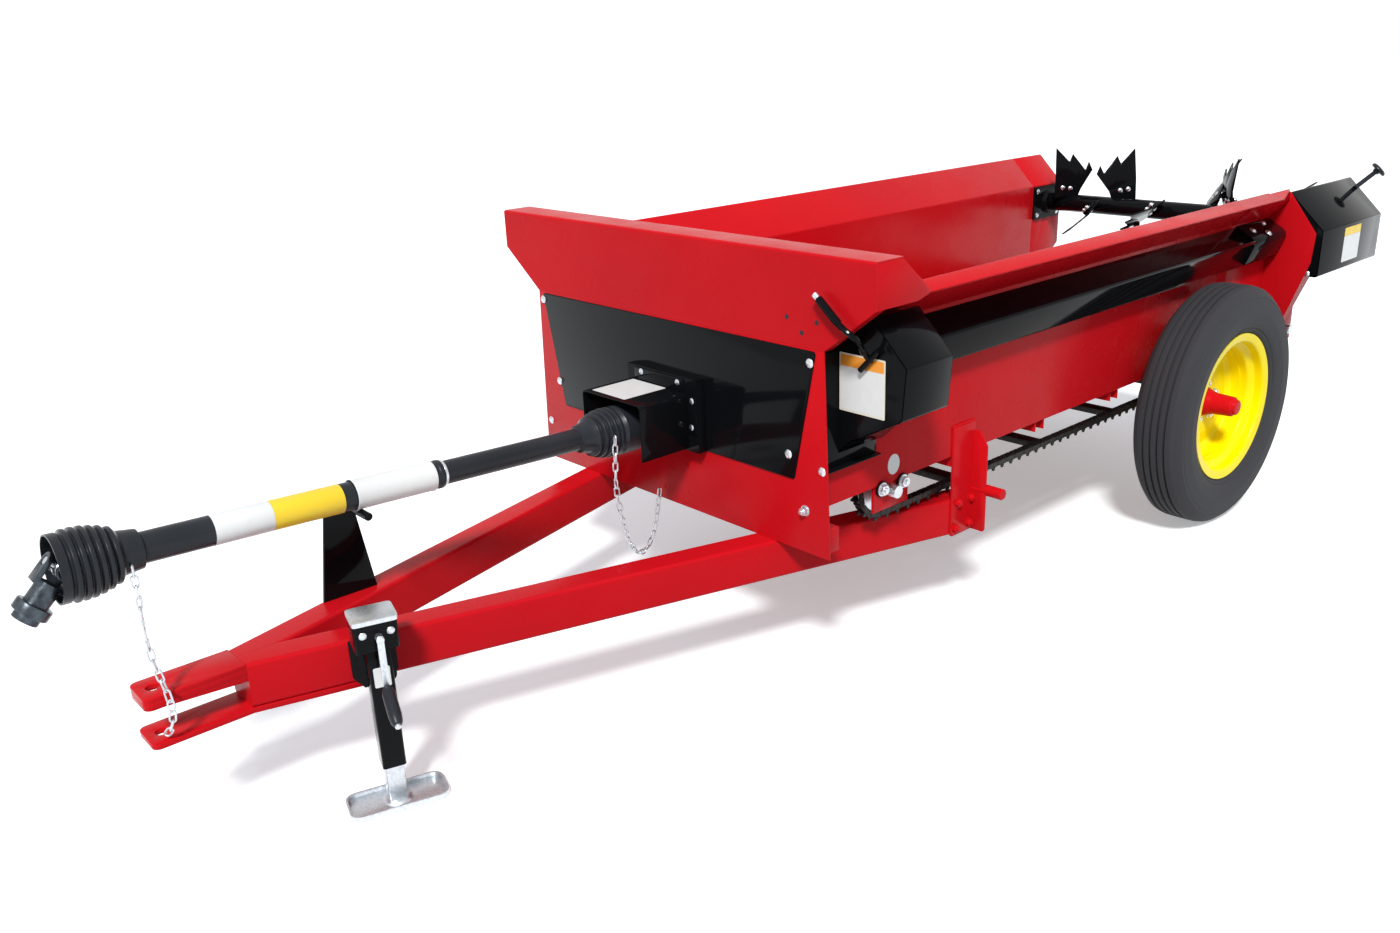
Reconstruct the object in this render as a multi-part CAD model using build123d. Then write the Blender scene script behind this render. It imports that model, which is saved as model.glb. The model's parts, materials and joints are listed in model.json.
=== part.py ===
from build123d import *
import math
import os

# Manure spreader, power take-off driven, single beater. Millimetres, +Z up, hitch towards -Y,
# +X is the machine's left side. Heights are above the floor. Stations along the machine are
# measured from the front face of the headboard and moved into the frame by HEAD_Y.

os.makedirs("parts", exist_ok=True)

# ---------------------------------------------------------------- overall sizes
BOX_LENGTH = 2625.0            # headboard face to the rear edge of the side walls
WALL_OUT = 531.0               # half width over the side walls
HEADBOARD_HALF = 690.0         # half width of the headboard
HEADBOARD_TOP = 1075.0         # height of the headboard's top edge
TYRE_DIAMETER = 750.0
TYRE_WIDTH = 165.0
WHEEL_X = 645.0                # centre plane of a tyre
WHEEL_STATION = 1695.0         # axle behind the headboard face
HITCH_STATION = -1378.0        # front edge of the clevis
SHEET = 4.0                    # body sheet thickness

# ---------------------------------------------------------------- beater and apron
BEATER_STATION = 2530.0
BEATER_Z = 823.0
BEATER_TUBE_R = 35.0
PADDLE_R = 205.0               # reach of a paddle from the beater axis
SPROCKET_R = 72.0              # pitch radius of the apron loop at both ends
APRON_Z = 462.5                # height of both apron shafts
IDLER_STATION = 255.0
DRIVE_STATION = 2430.0
CHAIN_X = 488.0                # centre of an apron chain
CHAIN_W = 20.0
CHAIN_T = 18.0
FLOOR_TOP = 523.0
FLOOR_T = 6.0

# ---------------------------------------------------------------- tongue
RAIL_TOP = 365.0
RAIL_H = 100.0
RAIL_W = 75.0                  # width of a rail, square to its length
APEX_STATION = -1178.0         # where the two rails begin
APEX_HALF = 47.0               # half width of the clevis
RAIL_SLOPE = 0.29              # sideways run of a rail for each unit along the machine
RAIL_END = 560.0
PIN_R = 13.5                   # hitch pin hole
PIN_STATION = -1346.0
CLEVIS_T = 12.0

# ---------------------------------------------------------------- driveline
JOINT_STATION = -170.0         # centre of the rear universal joint
JOINT_Z = 606.0
DRIVE_LENGTH = 1284.0          # rear joint centre to front joint centre
DRIVE_RISE = 2.3               # degrees, up towards the front
YOKE_DROOP = 45.0              # degrees the front yoke hangs below the shaft
YOKE_LENGTH = 112.0
GUARD_FRONT_R = 31.0
GUARD_REAR_R = 27.0
BELL_R = 66.0
SHAFT_R = 15.0
RUN = 0.05                     # running clearance on the radius

# ---------------------------------------------------------------- overall extent, frame origin
RAIL_ANGLE = math.atan(RAIL_SLOPE)
RISE = math.radians(DRIVE_RISE)
DROOP = math.radians(YOKE_DROOP)
FRONT_JOINT_STATION = JOINT_STATION - DRIVE_LENGTH * math.cos(RISE)
FRONT_JOINT_Z = JOINT_Z + DRIVE_LENGTH * math.sin(RISE)
YOKE_R = 25.0
FRONT_MOST = FRONT_JOINT_STATION - YOKE_LENGTH * math.cos(DROOP) - YOKE_R * math.sin(DROOP)
REAR_MOST = BEATER_STATION + PADDLE_R
HEAD_Y = -(FRONT_MOST + REAR_MOST) / 2.0


# ---------------------------------------------------------------- helpers
def block(x0, x1, s0, s1, z0, z1):
    """Box between two x, two stations and two heights."""
    return Pos((x0 + x1) / 2, HEAD_Y + (s0 + s1) / 2, (z0 + z1) / 2) * Box(
        abs(x1 - x0), abs(s1 - s0), abs(z1 - z0))


def polygon(points):
    return Face(Wire.make_polygon([Vector(*p) for p in points], close=True))


def across(points, x0, x1):
    """Section given as (station, height), extruded along X."""
    face = polygon([(x0, HEAD_Y + s, z) for s, z in points])
    return Solid.extrude(face, Vector(x1 - x0, 0, 0))


def along(points, s0, s1):
    """Section given as (x, height), extruded along the machine."""
    face = polygon([(x, HEAD_Y + s0, z) for x, z in points])
    return Solid.extrude(face, Vector(0, s1 - s0, 0))


def upright(points, z0, z1):
    """Plan given as (x, station), extruded upwards."""
    face = polygon([(x, HEAD_Y + s, z0) for x, s in points])
    return Solid.extrude(face, Vector(0, 0, z1 - z0))


def rod(start, end, radius):
    """Round bar between two points given as (x, station, height)."""
    a = Vector(start[0], HEAD_Y + start[1], start[2])
    b = Vector(end[0], HEAD_Y + end[1], end[2])
    axis = b - a
    return Solid.make_cylinder(radius, axis.length, Plane(origin=a, z_dir=axis.normalized()))


def spun(points, origin, axis):
    """Turned piece: (radius, distance) profile about an axis through origin (x, station, z)."""
    base = Vector(origin[0], HEAD_Y + origin[1], origin[2])
    plane = Plane(origin=base, z_dir=Vector(*axis))
    face = Face(Wire.make_polygon([Vector(r, 0, d) for r, d in points], close=True))
    return plane * Solid.revolve(face, 360, Axis.Z)


def mirrored(shape):
    return mirror(shape, Plane.YZ)


def strip(points, thickness):
    """Closed outline of a bent sheet: points are its outer line, offset inwards (to -X side)."""
    inner = []
    for i, (x, z) in enumerate(points):
        normals = []
        for a, b in ((i - 1, i), (i, i + 1)):
            if a < 0 or b >= len(points):
                continue
            dx = points[b][0] - points[a][0]
            dz = points[b][1] - points[a][1]
            length = math.hypot(dx, dz)
            normals.append((-dz / length, dx / length))
        nx = sum(n[0] for n in normals)
        nz = sum(n[1] for n in normals)
        scale = thickness * len(normals) / (nx * nx + nz * nz)
        inner.append((x + nx * scale, z + nz * scale))
    return list(points) + inner[::-1]


NODES = {}


def keep(name, *solids):
    """Stores the node's solids, joined where they touch."""
    shape = solids[0]
    for other in solids[1:]:
        shape = shape + other
    NODES[name] = shape


def keep_apart(name, *solids):
    """Stores solids that do not touch under one node."""
    NODES[name] = Compound(children=[s for s in solids])


# ---------------------------------------------------------------- headboard and front
HEAD_SIDE_BOTTOM = 971.0       # lower end of the headboard's upright ends
HEAD_NECK_Z = 862.0            # where the headboard meets the front plate
HEAD_NECK_HALF = 544.0
HEAD_LIP = 88.0                # depth of the top flange
FRONT_BOTTOM_HALF = 561.0

head_face = along(
    [(-HEADBOARD_HALF, HEADBOARD_TOP), (-HEADBOARD_HALF, HEAD_SIDE_BOTTOM),
     (-HEAD_NECK_HALF, HEAD_NECK_Z), (HEAD_NECK_HALF, HEAD_NECK_Z),
     (HEADBOARD_HALF, HEAD_SIDE_BOTTOM), (HEADBOARD_HALF, HEADBOARD_TOP)], 0, SHEET)
head_lip = block(-HEADBOARD_HALF, HEADBOARD_HALF, SHEET, HEAD_LIP,
                 HEADBOARD_TOP - SHEET, HEADBOARD_TOP)
return_line = [(SHEET, HEADBOARD_TOP - SHEET), (HEAD_LIP, HEADBOARD_TOP - SHEET),
               (190, 984), (140, HEAD_SIDE_BOTTOM), (SHEET, HEAD_SIDE_BOTTOM)]
head_return = across(return_line, HEADBOARD_HALF - SHEET, HEADBOARD_HALF)
keep("headboard", head_face, head_lip, head_return, mirrored(head_return))

keep("front_plate", along(
    [(-HEAD_NECK_HALF, HEAD_NECK_Z), (-FRONT_BOTTOM_HALF, RAIL_TOP),
     (FRONT_BOTTOM_HALF, RAIL_TOP), (HEAD_NECK_HALF, HEAD_NECK_Z)], 0, SHEET))
keep("front_crossmember", block(-WALL_OUT, WALL_OUT, SHEET, 64, RAIL_TOP, RAIL_TOP + 60)
     - block(-WALL_OUT, WALL_OUT, SHEET, 60, RAIL_TOP + 4, RAIL_TOP + 56))

SHIELD_T = 3.0
SHIELD_TOP = 858.0
SHIELD_BOTTOM = 541.0
keep("front_shield", along(
    [(-522, SHIELD_TOP), (-452, SHIELD_BOTTOM), (452, SHIELD_BOTTOM), (522, SHIELD_TOP)],
    -SHIELD_T, 0))

# the gearbox stands behind a cover on the shield, with the shaft guard in front of it
GEAR_FRONT = -62.0
PTO_SHIELD_FRONT = -184.0
PTO_SHIELD_HALF = 115.0
PTO_SHIELD_TOP = 692.0
keep("gearbox", block(-80, 80, -56, -SHIELD_T, 548, 676))
cover_outer = block(-118, 150, GEAR_FRONT, -SHIELD_T, 540, 706)
cover_inner = block(-115, 147, GEAR_FRONT + 3, -SHIELD_T, 540, 703)
input_hole = rod((0, GEAR_FRONT - 2, JOINT_Z), (0, GEAR_FRONT + 5, JOINT_Z), 34)
keep("gearbox_cover", cover_outer - cover_inner - input_hole)
guard_outer = block(-PTO_SHIELD_HALF, PTO_SHIELD_HALF, PTO_SHIELD_FRONT, GEAR_FRONT,
                    548, PTO_SHIELD_TOP)
guard_inner = block(-PTO_SHIELD_HALF + 3, PTO_SHIELD_HALF - 3, PTO_SHIELD_FRONT, GEAR_FRONT,
                    548, PTO_SHIELD_TOP - 3)
keep("pto_shield", guard_outer - guard_inner)
keep("cross_shaft_cover", across([(-SHIELD_T, 752), (-52, 704), (-52, 676), (-SHIELD_T, 600)],
                                 150, 496))

# ---------------------------------------------------------------- side walls
WALL_BEND = 891.0              # wall turns outwards here
FLARE_X = 633.0                # top fold of the flare
FLARE_Z = 994.0
LIP_X = HEADBOARD_HALF - SHEET - 1.2
LIP_Z = 980.0
WALL_FOOT = 485.0
WING_STATION = 2204.0          # the left flare stops at the wing plate
CORNER_Z = 643.0               # rear lower corner is cut off below this height
CORNER_STATION = 2425.0

wall_line = [(WALL_OUT, WALL_FOOT), (WALL_OUT, WALL_BEND)]
flare_line = [(WALL_OUT, WALL_FOOT), (WALL_OUT, WALL_BEND), (FLARE_X, FLARE_Z), (LIP_X, LIP_Z)]
corner_cut = across([(CORNER_STATION, WALL_FOOT - 1), (BOX_LENGTH + 1, CORNER_Z),
                     (BOX_LENGTH + 1, WALL_FOOT - 1)], WALL_OUT - 20, WALL_OUT + 20)
shaft_hole = rod((WALL_OUT - 40, BEATER_STATION, BEATER_Z),
                 (WALL_OUT + 40, BEATER_STATION, BEATER_Z), 24)
left_wall = along(strip(flare_line, SHEET), SHEET, WING_STATION) + along(
    strip(wall_line, SHEET), WING_STATION, BOX_LENGTH) - corner_cut - shaft_hole
right_wall = along(strip(flare_line, SHEET), SHEET, BOX_LENGTH) - corner_cut - shaft_hole
keep("side_wall_left", left_wall)
keep("side_wall_right", mirrored(right_wall))

keep("wing_plate", along(
    [(WALL_OUT, 500), (WALL_OUT, 895), (584, 974), (686, 840), (680, 745), (666, 702), (617, 557)],
    WING_STATION, WING_STATION + SHEET))
COVER_REAR = 2686.0
keep("rear_chain_cover", along(
    [(WALL_OUT, 698), (WALL_OUT, 893), (584, 972), (706, 850), (706, 698)],
    WING_STATION + SHEET, COVER_REAR)
    - block(WALL_OUT - 5, WALL_OUT + 60, BEATER_STATION - 45, BEATER_STATION + 45,
            BEATER_Z - 45, BEATER_Z + 45))
keep("cover_knob", rod((612, 2640, 955), (612, 2668, 1006), 9),
     rod((612, 2668, 1006), (612, 2674, 1017), 29))

HOUSING_FRONT = 78.0
HOUSING_REAR = 248.0
keep("front_chain_housing", along(
    [(WALL_OUT, 588), (WALL_OUT, 880), (592, 938), (612, 935), (720, 832), (706, 707), (636, 624)],
    HOUSING_FRONT, HOUSING_REAR))
keep("side_shaft_cover", along(
    [(WALL_OUT, 757), (WALL_OUT, 880), (600, 838), (568, 757)], HOUSING_REAR, WING_STATION - 60))
keep("feed_lever", rod((617, HOUSING_FRONT, 838), (617, -24, 838), 7),
     rod((617, -22, 836), (568, -34, 1000), 7),
     Pos(568, HEAD_Y - 34, 1000) * Sphere(13))

# ---------------------------------------------------------------- floor and frame
FLOOR_HALF = 519.0
notch_front = [block(side * 488 - 17, side * 488 + 17, IDLER_STATION, IDLER_STATION + 85,
                     FLOOR_TOP - 10, FLOOR_TOP + 10) for side in (1, -1)]
notch_rear = [block(side * 488 - 17, side * 488 + 17, DRIVE_STATION - 85, DRIVE_STATION,
                    FLOOR_TOP - 10, FLOOR_TOP + 10) for side in (1, -1)]
floor = block(-FLOOR_HALF, FLOOR_HALF, IDLER_STATION + 10, DRIVE_STATION - 10,
              FLOOR_TOP - FLOOR_T, FLOOR_TOP)
for cut in notch_front + notch_rear:
    floor = floor - cut
keep("floor", floor)
keep("apron_front_deck", across([(SHEET, 640), (SHEET, 644), (172, 564), (172, 560)],
                                -WALL_OUT + SHEET, WALL_OUT - SHEET))

# cross-members: station, all the same channel, open downwards
MEMBER_Z = 455.0
member_table = (520.0, 900.0, 1290.0, 2090.0)
members = []
for station in member_table:
    bar = block(-WALL_OUT + SHEET, WALL_OUT - SHEET, station - 22, station + 22,
                MEMBER_Z, FLOOR_TOP - FLOOR_T)
    members.append(bar - block(-WALL_OUT, WALL_OUT, station - 18, station + 18,
                               MEMBER_Z - 1, FLOOR_TOP - FLOOR_T - 4))
keep_apart("floor_crossmembers", *members)

# bearing hangers inside the walls: station from, station to, shaft station
hanger_table = ((195.0, 325.0, IDLER_STATION), (2365.0, 2495.0, DRIVE_STATION))
SHAFT_APRON_R = 16.0
hangers = []
for first, last, station in hanger_table:
    plate = block(FLOOR_HALF, WALL_OUT - SHEET, first, last, 415, 556)
    plate = plate - rod((500, station, APRON_Z), (560, station, APRON_Z), SHAFT_APRON_R)
    hangers.append(plate)
    hangers.append(mirrored(plate))
keep_apart("apron_bearing_hangers", *hangers)

for name, station in (("apron_idler_shaft", IDLER_STATION), ("apron_drive_shaft", DRIVE_STATION)):
    shaft = rod((-555, station, APRON_Z), (555, station, APRON_Z), SHAFT_APRON_R)
    wheel_r = SPROCKET_R - CHAIN_T / 2
    discs = [rod((side * CHAIN_X - 8, station, APRON_Z), (side * CHAIN_X + 8, station, APRON_Z),
                 wheel_r) for side in (1, -1)]
    keep(name, shaft, *discs)


def loop(radius, x0, x1):
    """Filled racetrack around both apron shafts."""
    bars = block(x0, x1, IDLER_STATION, DRIVE_STATION, APRON_Z - radius, APRON_Z + radius)
    for station in (IDLER_STATION, DRIVE_STATION):
        bars = bars + rod((x0, station, APRON_Z), (x1, station, APRON_Z), radius)
    return bars


chain_left = loop(SPROCKET_R + CHAIN_T / 2, CHAIN_X - CHAIN_W / 2, CHAIN_X + CHAIN_W / 2) - loop(
    SPROCKET_R - CHAIN_T / 2, CHAIN_X - CHAIN_W / 2 - 1, CHAIN_X + CHAIN_W / 2 + 1)
keep("apron_chain_left", chain_left)
keep("apron_chain_right", mirrored(chain_left))

SLAT_PITCH = 270.0
SLAT_T = 18.0
slats = []
station = IDLER_STATION + 40.0
while station < DRIVE_STATION - 20:
    for height in (APRON_Z + SPROCKET_R, APRON_Z - SPROCKET_R):
        slats.append(block(-CHAIN_X + CHAIN_W / 2, CHAIN_X - CHAIN_W / 2, station - 20,
                           station + 20, height - SLAT_T / 2, height + SLAT_T / 2))
    station += SLAT_PITCH
keep_apart("apron_slats", *slats)

# ---------------------------------------------------------------- axle, spindles
WHEEL_Z = TYRE_DIAMETER / 2
DROP_OUT = WALL_OUT + 12.0
SPINDLE_R = 17.0
HUB_IN = 572.0
HUB_OUT = 722.0
keep("axle", block(-WALL_OUT + SHEET, WALL_OUT - SHEET, WHEEL_STATION - 31, WHEEL_STATION + 31,
                   MEMBER_Z, FLOOR_TOP - FLOOR_T)
     - block(-WALL_OUT, WALL_OUT, WHEEL_STATION - 25, WHEEL_STATION + 25, MEMBER_Z + 6,
             FLOOR_TOP - FLOOR_T - 6))
spindle = block(WALL_OUT, DROP_OUT, WHEEL_STATION - 70, WHEEL_STATION + 70, 325, 575)
spindle = spindle + rod((DROP_OUT, WHEEL_STATION, WHEEL_Z), (HUB_IN - 2, WHEEL_STATION, WHEEL_Z), 26)
spindle = spindle + rod((HUB_IN - 2, WHEEL_STATION, WHEEL_Z),
                        (HUB_OUT - 12, WHEEL_STATION, WHEEL_Z), SPINDLE_R)
keep("spindle_left", spindle)
keep("spindle_right", mirrored(spindle))

# ---------------------------------------------------------------- wheels
RIM_FLANGE_R = 230.0
RIM_SEAT_R = 207.0
RIM_HALF = 62.0
DISC_X = 606.0                 # inner face of the wheel disc
DISC_T = 8.0
HUB_R = 31.0
TYRE_R = TYRE_DIAMETER / 2
wheel_centre = (WHEEL_X, WHEEL_STATION, WHEEL_Z)

# tyre section as (radius, distance from the centre plane), one half, mirrored below
tyre_half = ((RIM_SEAT_R, RIM_HALF - 6), (RIM_FLANGE_R + 2.2, RIM_HALF - 6),
             (RIM_FLANGE_R + 6, RIM_HALF + 0.4), (262, 76), (292, 82.5),
             (325, 81), (352, 70), (368, 56), (TYRE_R, 40))
tyre_line = list(tyre_half) + [(r, -d) for r, d in reversed(tyre_half)]
tyre = spun(tyre_line, wheel_centre, (1, 0, 0))
rim_line = [(RIM_FLANGE_R + 2, RIM_HALF), (RIM_FLANGE_R + 2, RIM_HALF - 6),
            (RIM_SEAT_R, RIM_HALF - 6), (RIM_SEAT_R, -RIM_HALF + 6),
            (RIM_FLANGE_R + 2, -RIM_HALF + 6), (RIM_FLANGE_R + 2, -RIM_HALF),
            (RIM_SEAT_R - 6, -RIM_HALF), (RIM_SEAT_R - 6, RIM_HALF)]
rim = spun(rim_line, wheel_centre, (1, 0, 0))
disc = rod((DISC_X, WHEEL_STATION, WHEEL_Z), (DISC_X + DISC_T, WHEEL_STATION, WHEEL_Z),
           RIM_SEAT_R - 5) - rod((DISC_X - 1, WHEEL_STATION, WHEEL_Z),
                                 (DISC_X + DISC_T + 1, WHEEL_STATION, WHEEL_Z), HUB_R)
rim = rim + disc
hub = rod((HUB_IN, WHEEL_STATION, WHEEL_Z), (HUB_OUT, WHEEL_STATION, WHEEL_Z), HUB_R)
hub = hub + rod((DISC_X - 12, WHEEL_STATION, WHEEL_Z), (DISC_X, WHEEL_STATION, WHEEL_Z), 75)
hub = hub - rod((HUB_IN - 1, WHEEL_STATION, WHEEL_Z), (HUB_OUT - 8, WHEEL_STATION, WHEEL_Z),
                SPINDLE_R + RUN)
for side, move in (("left", None), ("right", mirrored)):
    for name, solid in (("tyre", tyre), ("rim", rim), ("hub", hub)):
        keep(name + "_" + side, solid if move is None else move(solid))

# ---------------------------------------------------------------- beater
BEARING_T = 8.0
BEATER_SHAFT_R = 19.0
BEATER_HALF = 500.0
bearing = block(WALL_OUT - SHEET - BEARING_T, WALL_OUT - SHEET, 2425, 2615, 755, 889)
bearing = bearing - rod((500, BEATER_STATION, BEATER_Z), (540, BEATER_STATION, BEATER_Z),
                        BEATER_SHAFT_R + RUN)
keep_apart("beater_bearings", bearing, mirrored(bearing))
keep("beater_shaft",
     rod((-BEATER_HALF, BEATER_STATION, BEATER_Z), (BEATER_HALF, BEATER_STATION, BEATER_Z),
         BEATER_TUBE_R),
     rod((-545, BEATER_STATION, BEATER_Z), (-BEATER_HALF, BEATER_STATION, BEATER_Z), BEATER_SHAFT_R),
     rod((BEATER_HALF, BEATER_STATION, BEATER_Z), (570, BEATER_STATION, BEATER_Z), BEATER_SHAFT_R))

# paddles: x of the middle, angle about the beater axis (0 is rearwards, 90 is up), lean in degrees
paddle_table = ((-410.0, 110.0, 20.0), (-410.0, 290.0, -20.0), (-245.0, 65.0, -20.0),
                (-245.0, 245.0, 20.0), (-80.0, 0.0, 20.0), (-80.0, 180.0, -20.0),
                (85.0, 65.0, -20.0), (85.0, 245.0, 20.0), (250.0, 110.0, 20.0),
                (250.0, 290.0, -20.0), (410.0, 155.0, -20.0), (410.0, 335.0, 20.0))
PADDLE_T = 6.0
teeth = ((-72, 185), (-60, 192), (-48, 168), (-24, 196), (-16, 172), (12, 204), (20, 178), (48, 200),
         (70, 172), (34, 60), (22, 33), (-22, 33), (-34, 60))


def paddle(x, angle, lean):
    """Serrated plate standing on the beater tube, its broad face turned by the lean."""
    face = polygon([(w, 0, h) for w, h in teeth])
    plate = Solid.extrude(face, Vector(0, PADDLE_T, 0))
    plate = Pos(0, -PADDLE_T / 2, 0) * plate
    plate = Rot(0, 0, lean) * plate
    plate = Rot(angle - 90.0, 0, 0) * plate
    return Pos(x, HEAD_Y + BEATER_STATION, BEATER_Z) * plate


tube_cut = rod((-BEATER_HALF - 5, BEATER_STATION, BEATER_Z), (BEATER_HALF + 5, BEATER_STATION, BEATER_Z),
               BEATER_TUBE_R)
keep_apart("beater_paddles", *[paddle(*row) - tube_cut for row in paddle_table])

# ---------------------------------------------------------------- tongue
RAIL_RUN = RAIL_W / math.cos(RAIL_ANGLE)


def rail_x(station, inset):
    """x of the rail's outer face at a station, moved inwards by inset square to the rail."""
    return APEX_HALF + RAIL_SLOPE * (station - APEX_STATION) - inset / math.cos(RAIL_ANGLE)


def rail_plan(inset, first, last):
    """Plan of the left rail, inset all round by a wall thickness."""
    clip = WALL_OUT - inset
    clip_station = APEX_STATION + (clip - APEX_HALF + inset / math.cos(RAIL_ANGLE)) / RAIL_SLOPE
    apex = APEX_STATION + (RAIL_RUN - inset / math.cos(RAIL_ANGLE) - APEX_HALF) / RAIL_SLOPE
    points = [(inset, first), (rail_x(first, inset), first), (clip, clip_station), (clip, last),
              (rail_x(last, RAIL_W - inset), last), (inset, apex + inset * 1.0 / RAIL_SLOPE)]
    return points


TUBE_WALL = 6.0
rail = upright(rail_plan(0.0, APEX_STATION, RAIL_END), RAIL_TOP - RAIL_H, RAIL_TOP)
hollow = upright(rail_plan(TUBE_WALL, APEX_STATION + 80, RAIL_END + 1),
                 RAIL_TOP - RAIL_H + TUBE_WALL, RAIL_TOP - TUBE_WALL)
rail = rail - hollow
keep("tongue_rail_left", rail)
keep("tongue_rail_right", mirrored(rail))

pin_cut = rod((0, PIN_STATION, RAIL_TOP - RAIL_H - 40), (0, PIN_STATION, RAIL_TOP + 20), PIN_R)
upper = block(-APEX_HALF, APEX_HALF, HITCH_STATION, APEX_STATION, RAIL_TOP - 10, RAIL_TOP)
upper = upper + block(-APEX_HALF, APEX_HALF, HITCH_STATION, HITCH_STATION + 8, RAIL_TOP - 26,
                      RAIL_TOP - 10)
cheek = across([(HITCH_STATION + 8, RAIL_TOP - 10), (HITCH_STATION + 8, RAIL_TOP - 26),
                (APEX_STATION, RAIL_TOP - 38), (APEX_STATION, RAIL_TOP - 10)],
               APEX_HALF - 8, APEX_HALF)
upper = upper + cheek + mirrored(cheek) - pin_cut
keep("hitch_upper", upper)
lower_plan = [(APEX_HALF, HITCH_STATION), (APEX_HALF, APEX_STATION), (rail_x(-960.0, 0.0), -960.0)]
lower_plan = lower_plan + [(-x, s) for x, s in reversed(lower_plan)]
lower = upright(lower_plan, RAIL_TOP - RAIL_H - CLEVIS_T, RAIL_TOP - RAIL_H) - pin_cut
keep("hitch_lower", lower)

# posts that hang from the walls and hold the rear ends of the rails
post = block(WALL_OUT, WALL_OUT + 6, 485, 586, 250, 562)
post = post + upright([(WALL_OUT, 580), (WALL_OUT + 44, 580), (WALL_OUT + 44, 586),
                       (WALL_OUT, 586)], 250, 520)
post = post + rod((WALL_OUT, 594, 376), (WALL_OUT + 104, 594, 376), 13)
keep("rail_post_left", post)
keep("rail_post_right", mirrored(post))

# ---------------------------------------------------------------- driveline
drive_axis = Vector(0, -math.cos(RISE), math.sin(RISE))


def on_drive(distance, offset=0.0):
    """Point on the shaft axis at a distance from the rear joint, offset downwards square to it."""
    return (0.0, JOINT_STATION - distance * math.cos(RISE) - offset * math.sin(RISE),
            JOINT_Z + distance * math.sin(RISE) - offset * math.cos(RISE))


def sleeve(points):
    """Turned guard piece on the shaft axis: (radius, distance from the rear joint)."""
    return spun(points, on_drive(0.0), tuple(drive_axis))


keep("guard_tube_rear", sleeve([(GUARD_REAR_R, 92), (GUARD_REAR_R, 620), (GUARD_REAR_R - 3, 620),
                                (GUARD_REAR_R - 3, 92)]))
keep("guard_tube_front", sleeve([(GUARD_FRONT_R, 502), (GUARD_FRONT_R, 1180), (GUARD_FRONT_R - 4, 1180),
                                 (GUARD_FRONT_R - 4, 502)]))
keep("guard_bell_rear", sleeve([(GUARD_REAR_R, 60), (GUARD_REAR_R, 110), (GUARD_REAR_R + 8, 110),
                                (BELL_R - 4, 40), (BELL_R - 4, -40), (BELL_R - 8, -40),
                                (BELL_R - 8, 38)]))
keep("guard_bell_front", sleeve([(GUARD_FRONT_R, 1180), (GUARD_FRONT_R, 1130),
                                 (GUARD_FRONT_R + 8, 1130), (BELL_R + 2, 1200), (BELL_R + 4, 1300),
                                 (BELL_R, 1300), (BELL_R - 2, 1204)]))
shaft_end = on_drive(DRIVE_LENGTH)
shaft_start = on_drive(30.0)
shaft = rod(shaft_start, shaft_end, SHAFT_R)
yoke_dir = (0.0, -math.cos(DROOP), -math.sin(DROOP))
yoke_tip = (0.0, shaft_end[1] + yoke_dir[1] * YOKE_LENGTH, shaft_end[2] + yoke_dir[2] * YOKE_LENGTH)
yoke_bore = (0.0, shaft_end[1] + yoke_dir[1] * 45, shaft_end[2] + yoke_dir[2] * 45)
YOKE_BORE_R = 17.5
keep("pto_shaft", shaft)
yoke_out = (0.0, yoke_tip[1] + yoke_dir[1] * 20, yoke_tip[2] + yoke_dir[2] * 20)
keep("pto_yoke", rod(shaft_end, yoke_tip, YOKE_R) - rod(yoke_bore, yoke_out, YOKE_BORE_R) - shaft)
input_shaft = rod((0, -56, JOINT_Z), (0, JOINT_STATION + 40, JOINT_Z), 17.5)
keep("input_shaft", input_shaft)

# stand that carries the resting driveline, on the right rail
STAND_DISTANCE = 700.0
CRADLE_R = 9.0
cradle = on_drive(STAND_DISTANCE, GUARD_FRONT_R + CRADLE_R)
STAND_X = -104.0
stand = block(STAND_X - 8, STAND_X, cradle[1] - 65, cradle[1] + 65, RAIL_TOP, cradle[2] + 20)
stand = stand + rod((STAND_X - 4, cradle[1], cradle[2]), (45, cradle[1], cradle[2]), CRADLE_R)
keep("pto_stand", stand)

# ---------------------------------------------------------------- jack
JACK_STATION = -957.0
JACK_OFF = 66.0                # jack axis out from the rail's outer face
JACK_TUBE = 50.0
JACK_WALL = 4.0
JACK_TOP = 445.0
JACK_BOTTOM = 92.0
jack_x = rail_x(JACK_STATION, 0.0) + JACK_OFF / math.cos(RAIL_ANGLE)
jack_place = Pos(jack_x, HEAD_Y + JACK_STATION, 0) * Rot(0, 0, -math.degrees(RAIL_ANGLE))


def jack_block(n0, n1, u0, u1, z0, z1):
    """Box in the jack's own frame: n out from the rail, u along it, z height."""
    return jack_place * Pos((n0 + n1) / 2, (u0 + u1) / 2, (z0 + z1) / 2) * Box(
        abs(n1 - n0), abs(u1 - u0), abs(z1 - z0))


def jack_rod(start, end, radius):
    a = Vector(*start)
    b = Vector(*end)
    axis = b - a
    return jack_place * Solid.make_cylinder(radius, axis.length,
                                            Plane(origin=a, z_dir=axis.normalized()))


H = JACK_TUBE / 2
SWIVEL_Z = RAIL_TOP - RAIL_H / 2
MOUNT_R = 34.0
mount = jack_rod((-JACK_OFF, 0, SWIVEL_Z), (-H - 8.5, 0, SWIVEL_Z), MOUNT_R)
mount = mount - jack_rod((-JACK_OFF + 8, 0, SWIVEL_Z), (-H, 0, SWIVEL_Z), MOUNT_R - 6 + RUN)
keep("jack_mount", mount)
tube = jack_block(-H, H, -H, H, JACK_BOTTOM, JACK_TOP) - jack_block(
    -H + JACK_WALL, H - JACK_WALL, -H + JACK_WALL, H - JACK_WALL, JACK_BOTTOM - 1, JACK_TOP - 60)
head = jack_block(-H, H + 22, -48, 42, JACK_TOP - 62, JACK_TOP)
plate = jack_block(-H - 8, -H, -38, 38, SWIVEL_Z - 45, SWIVEL_Z + 45)
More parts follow.
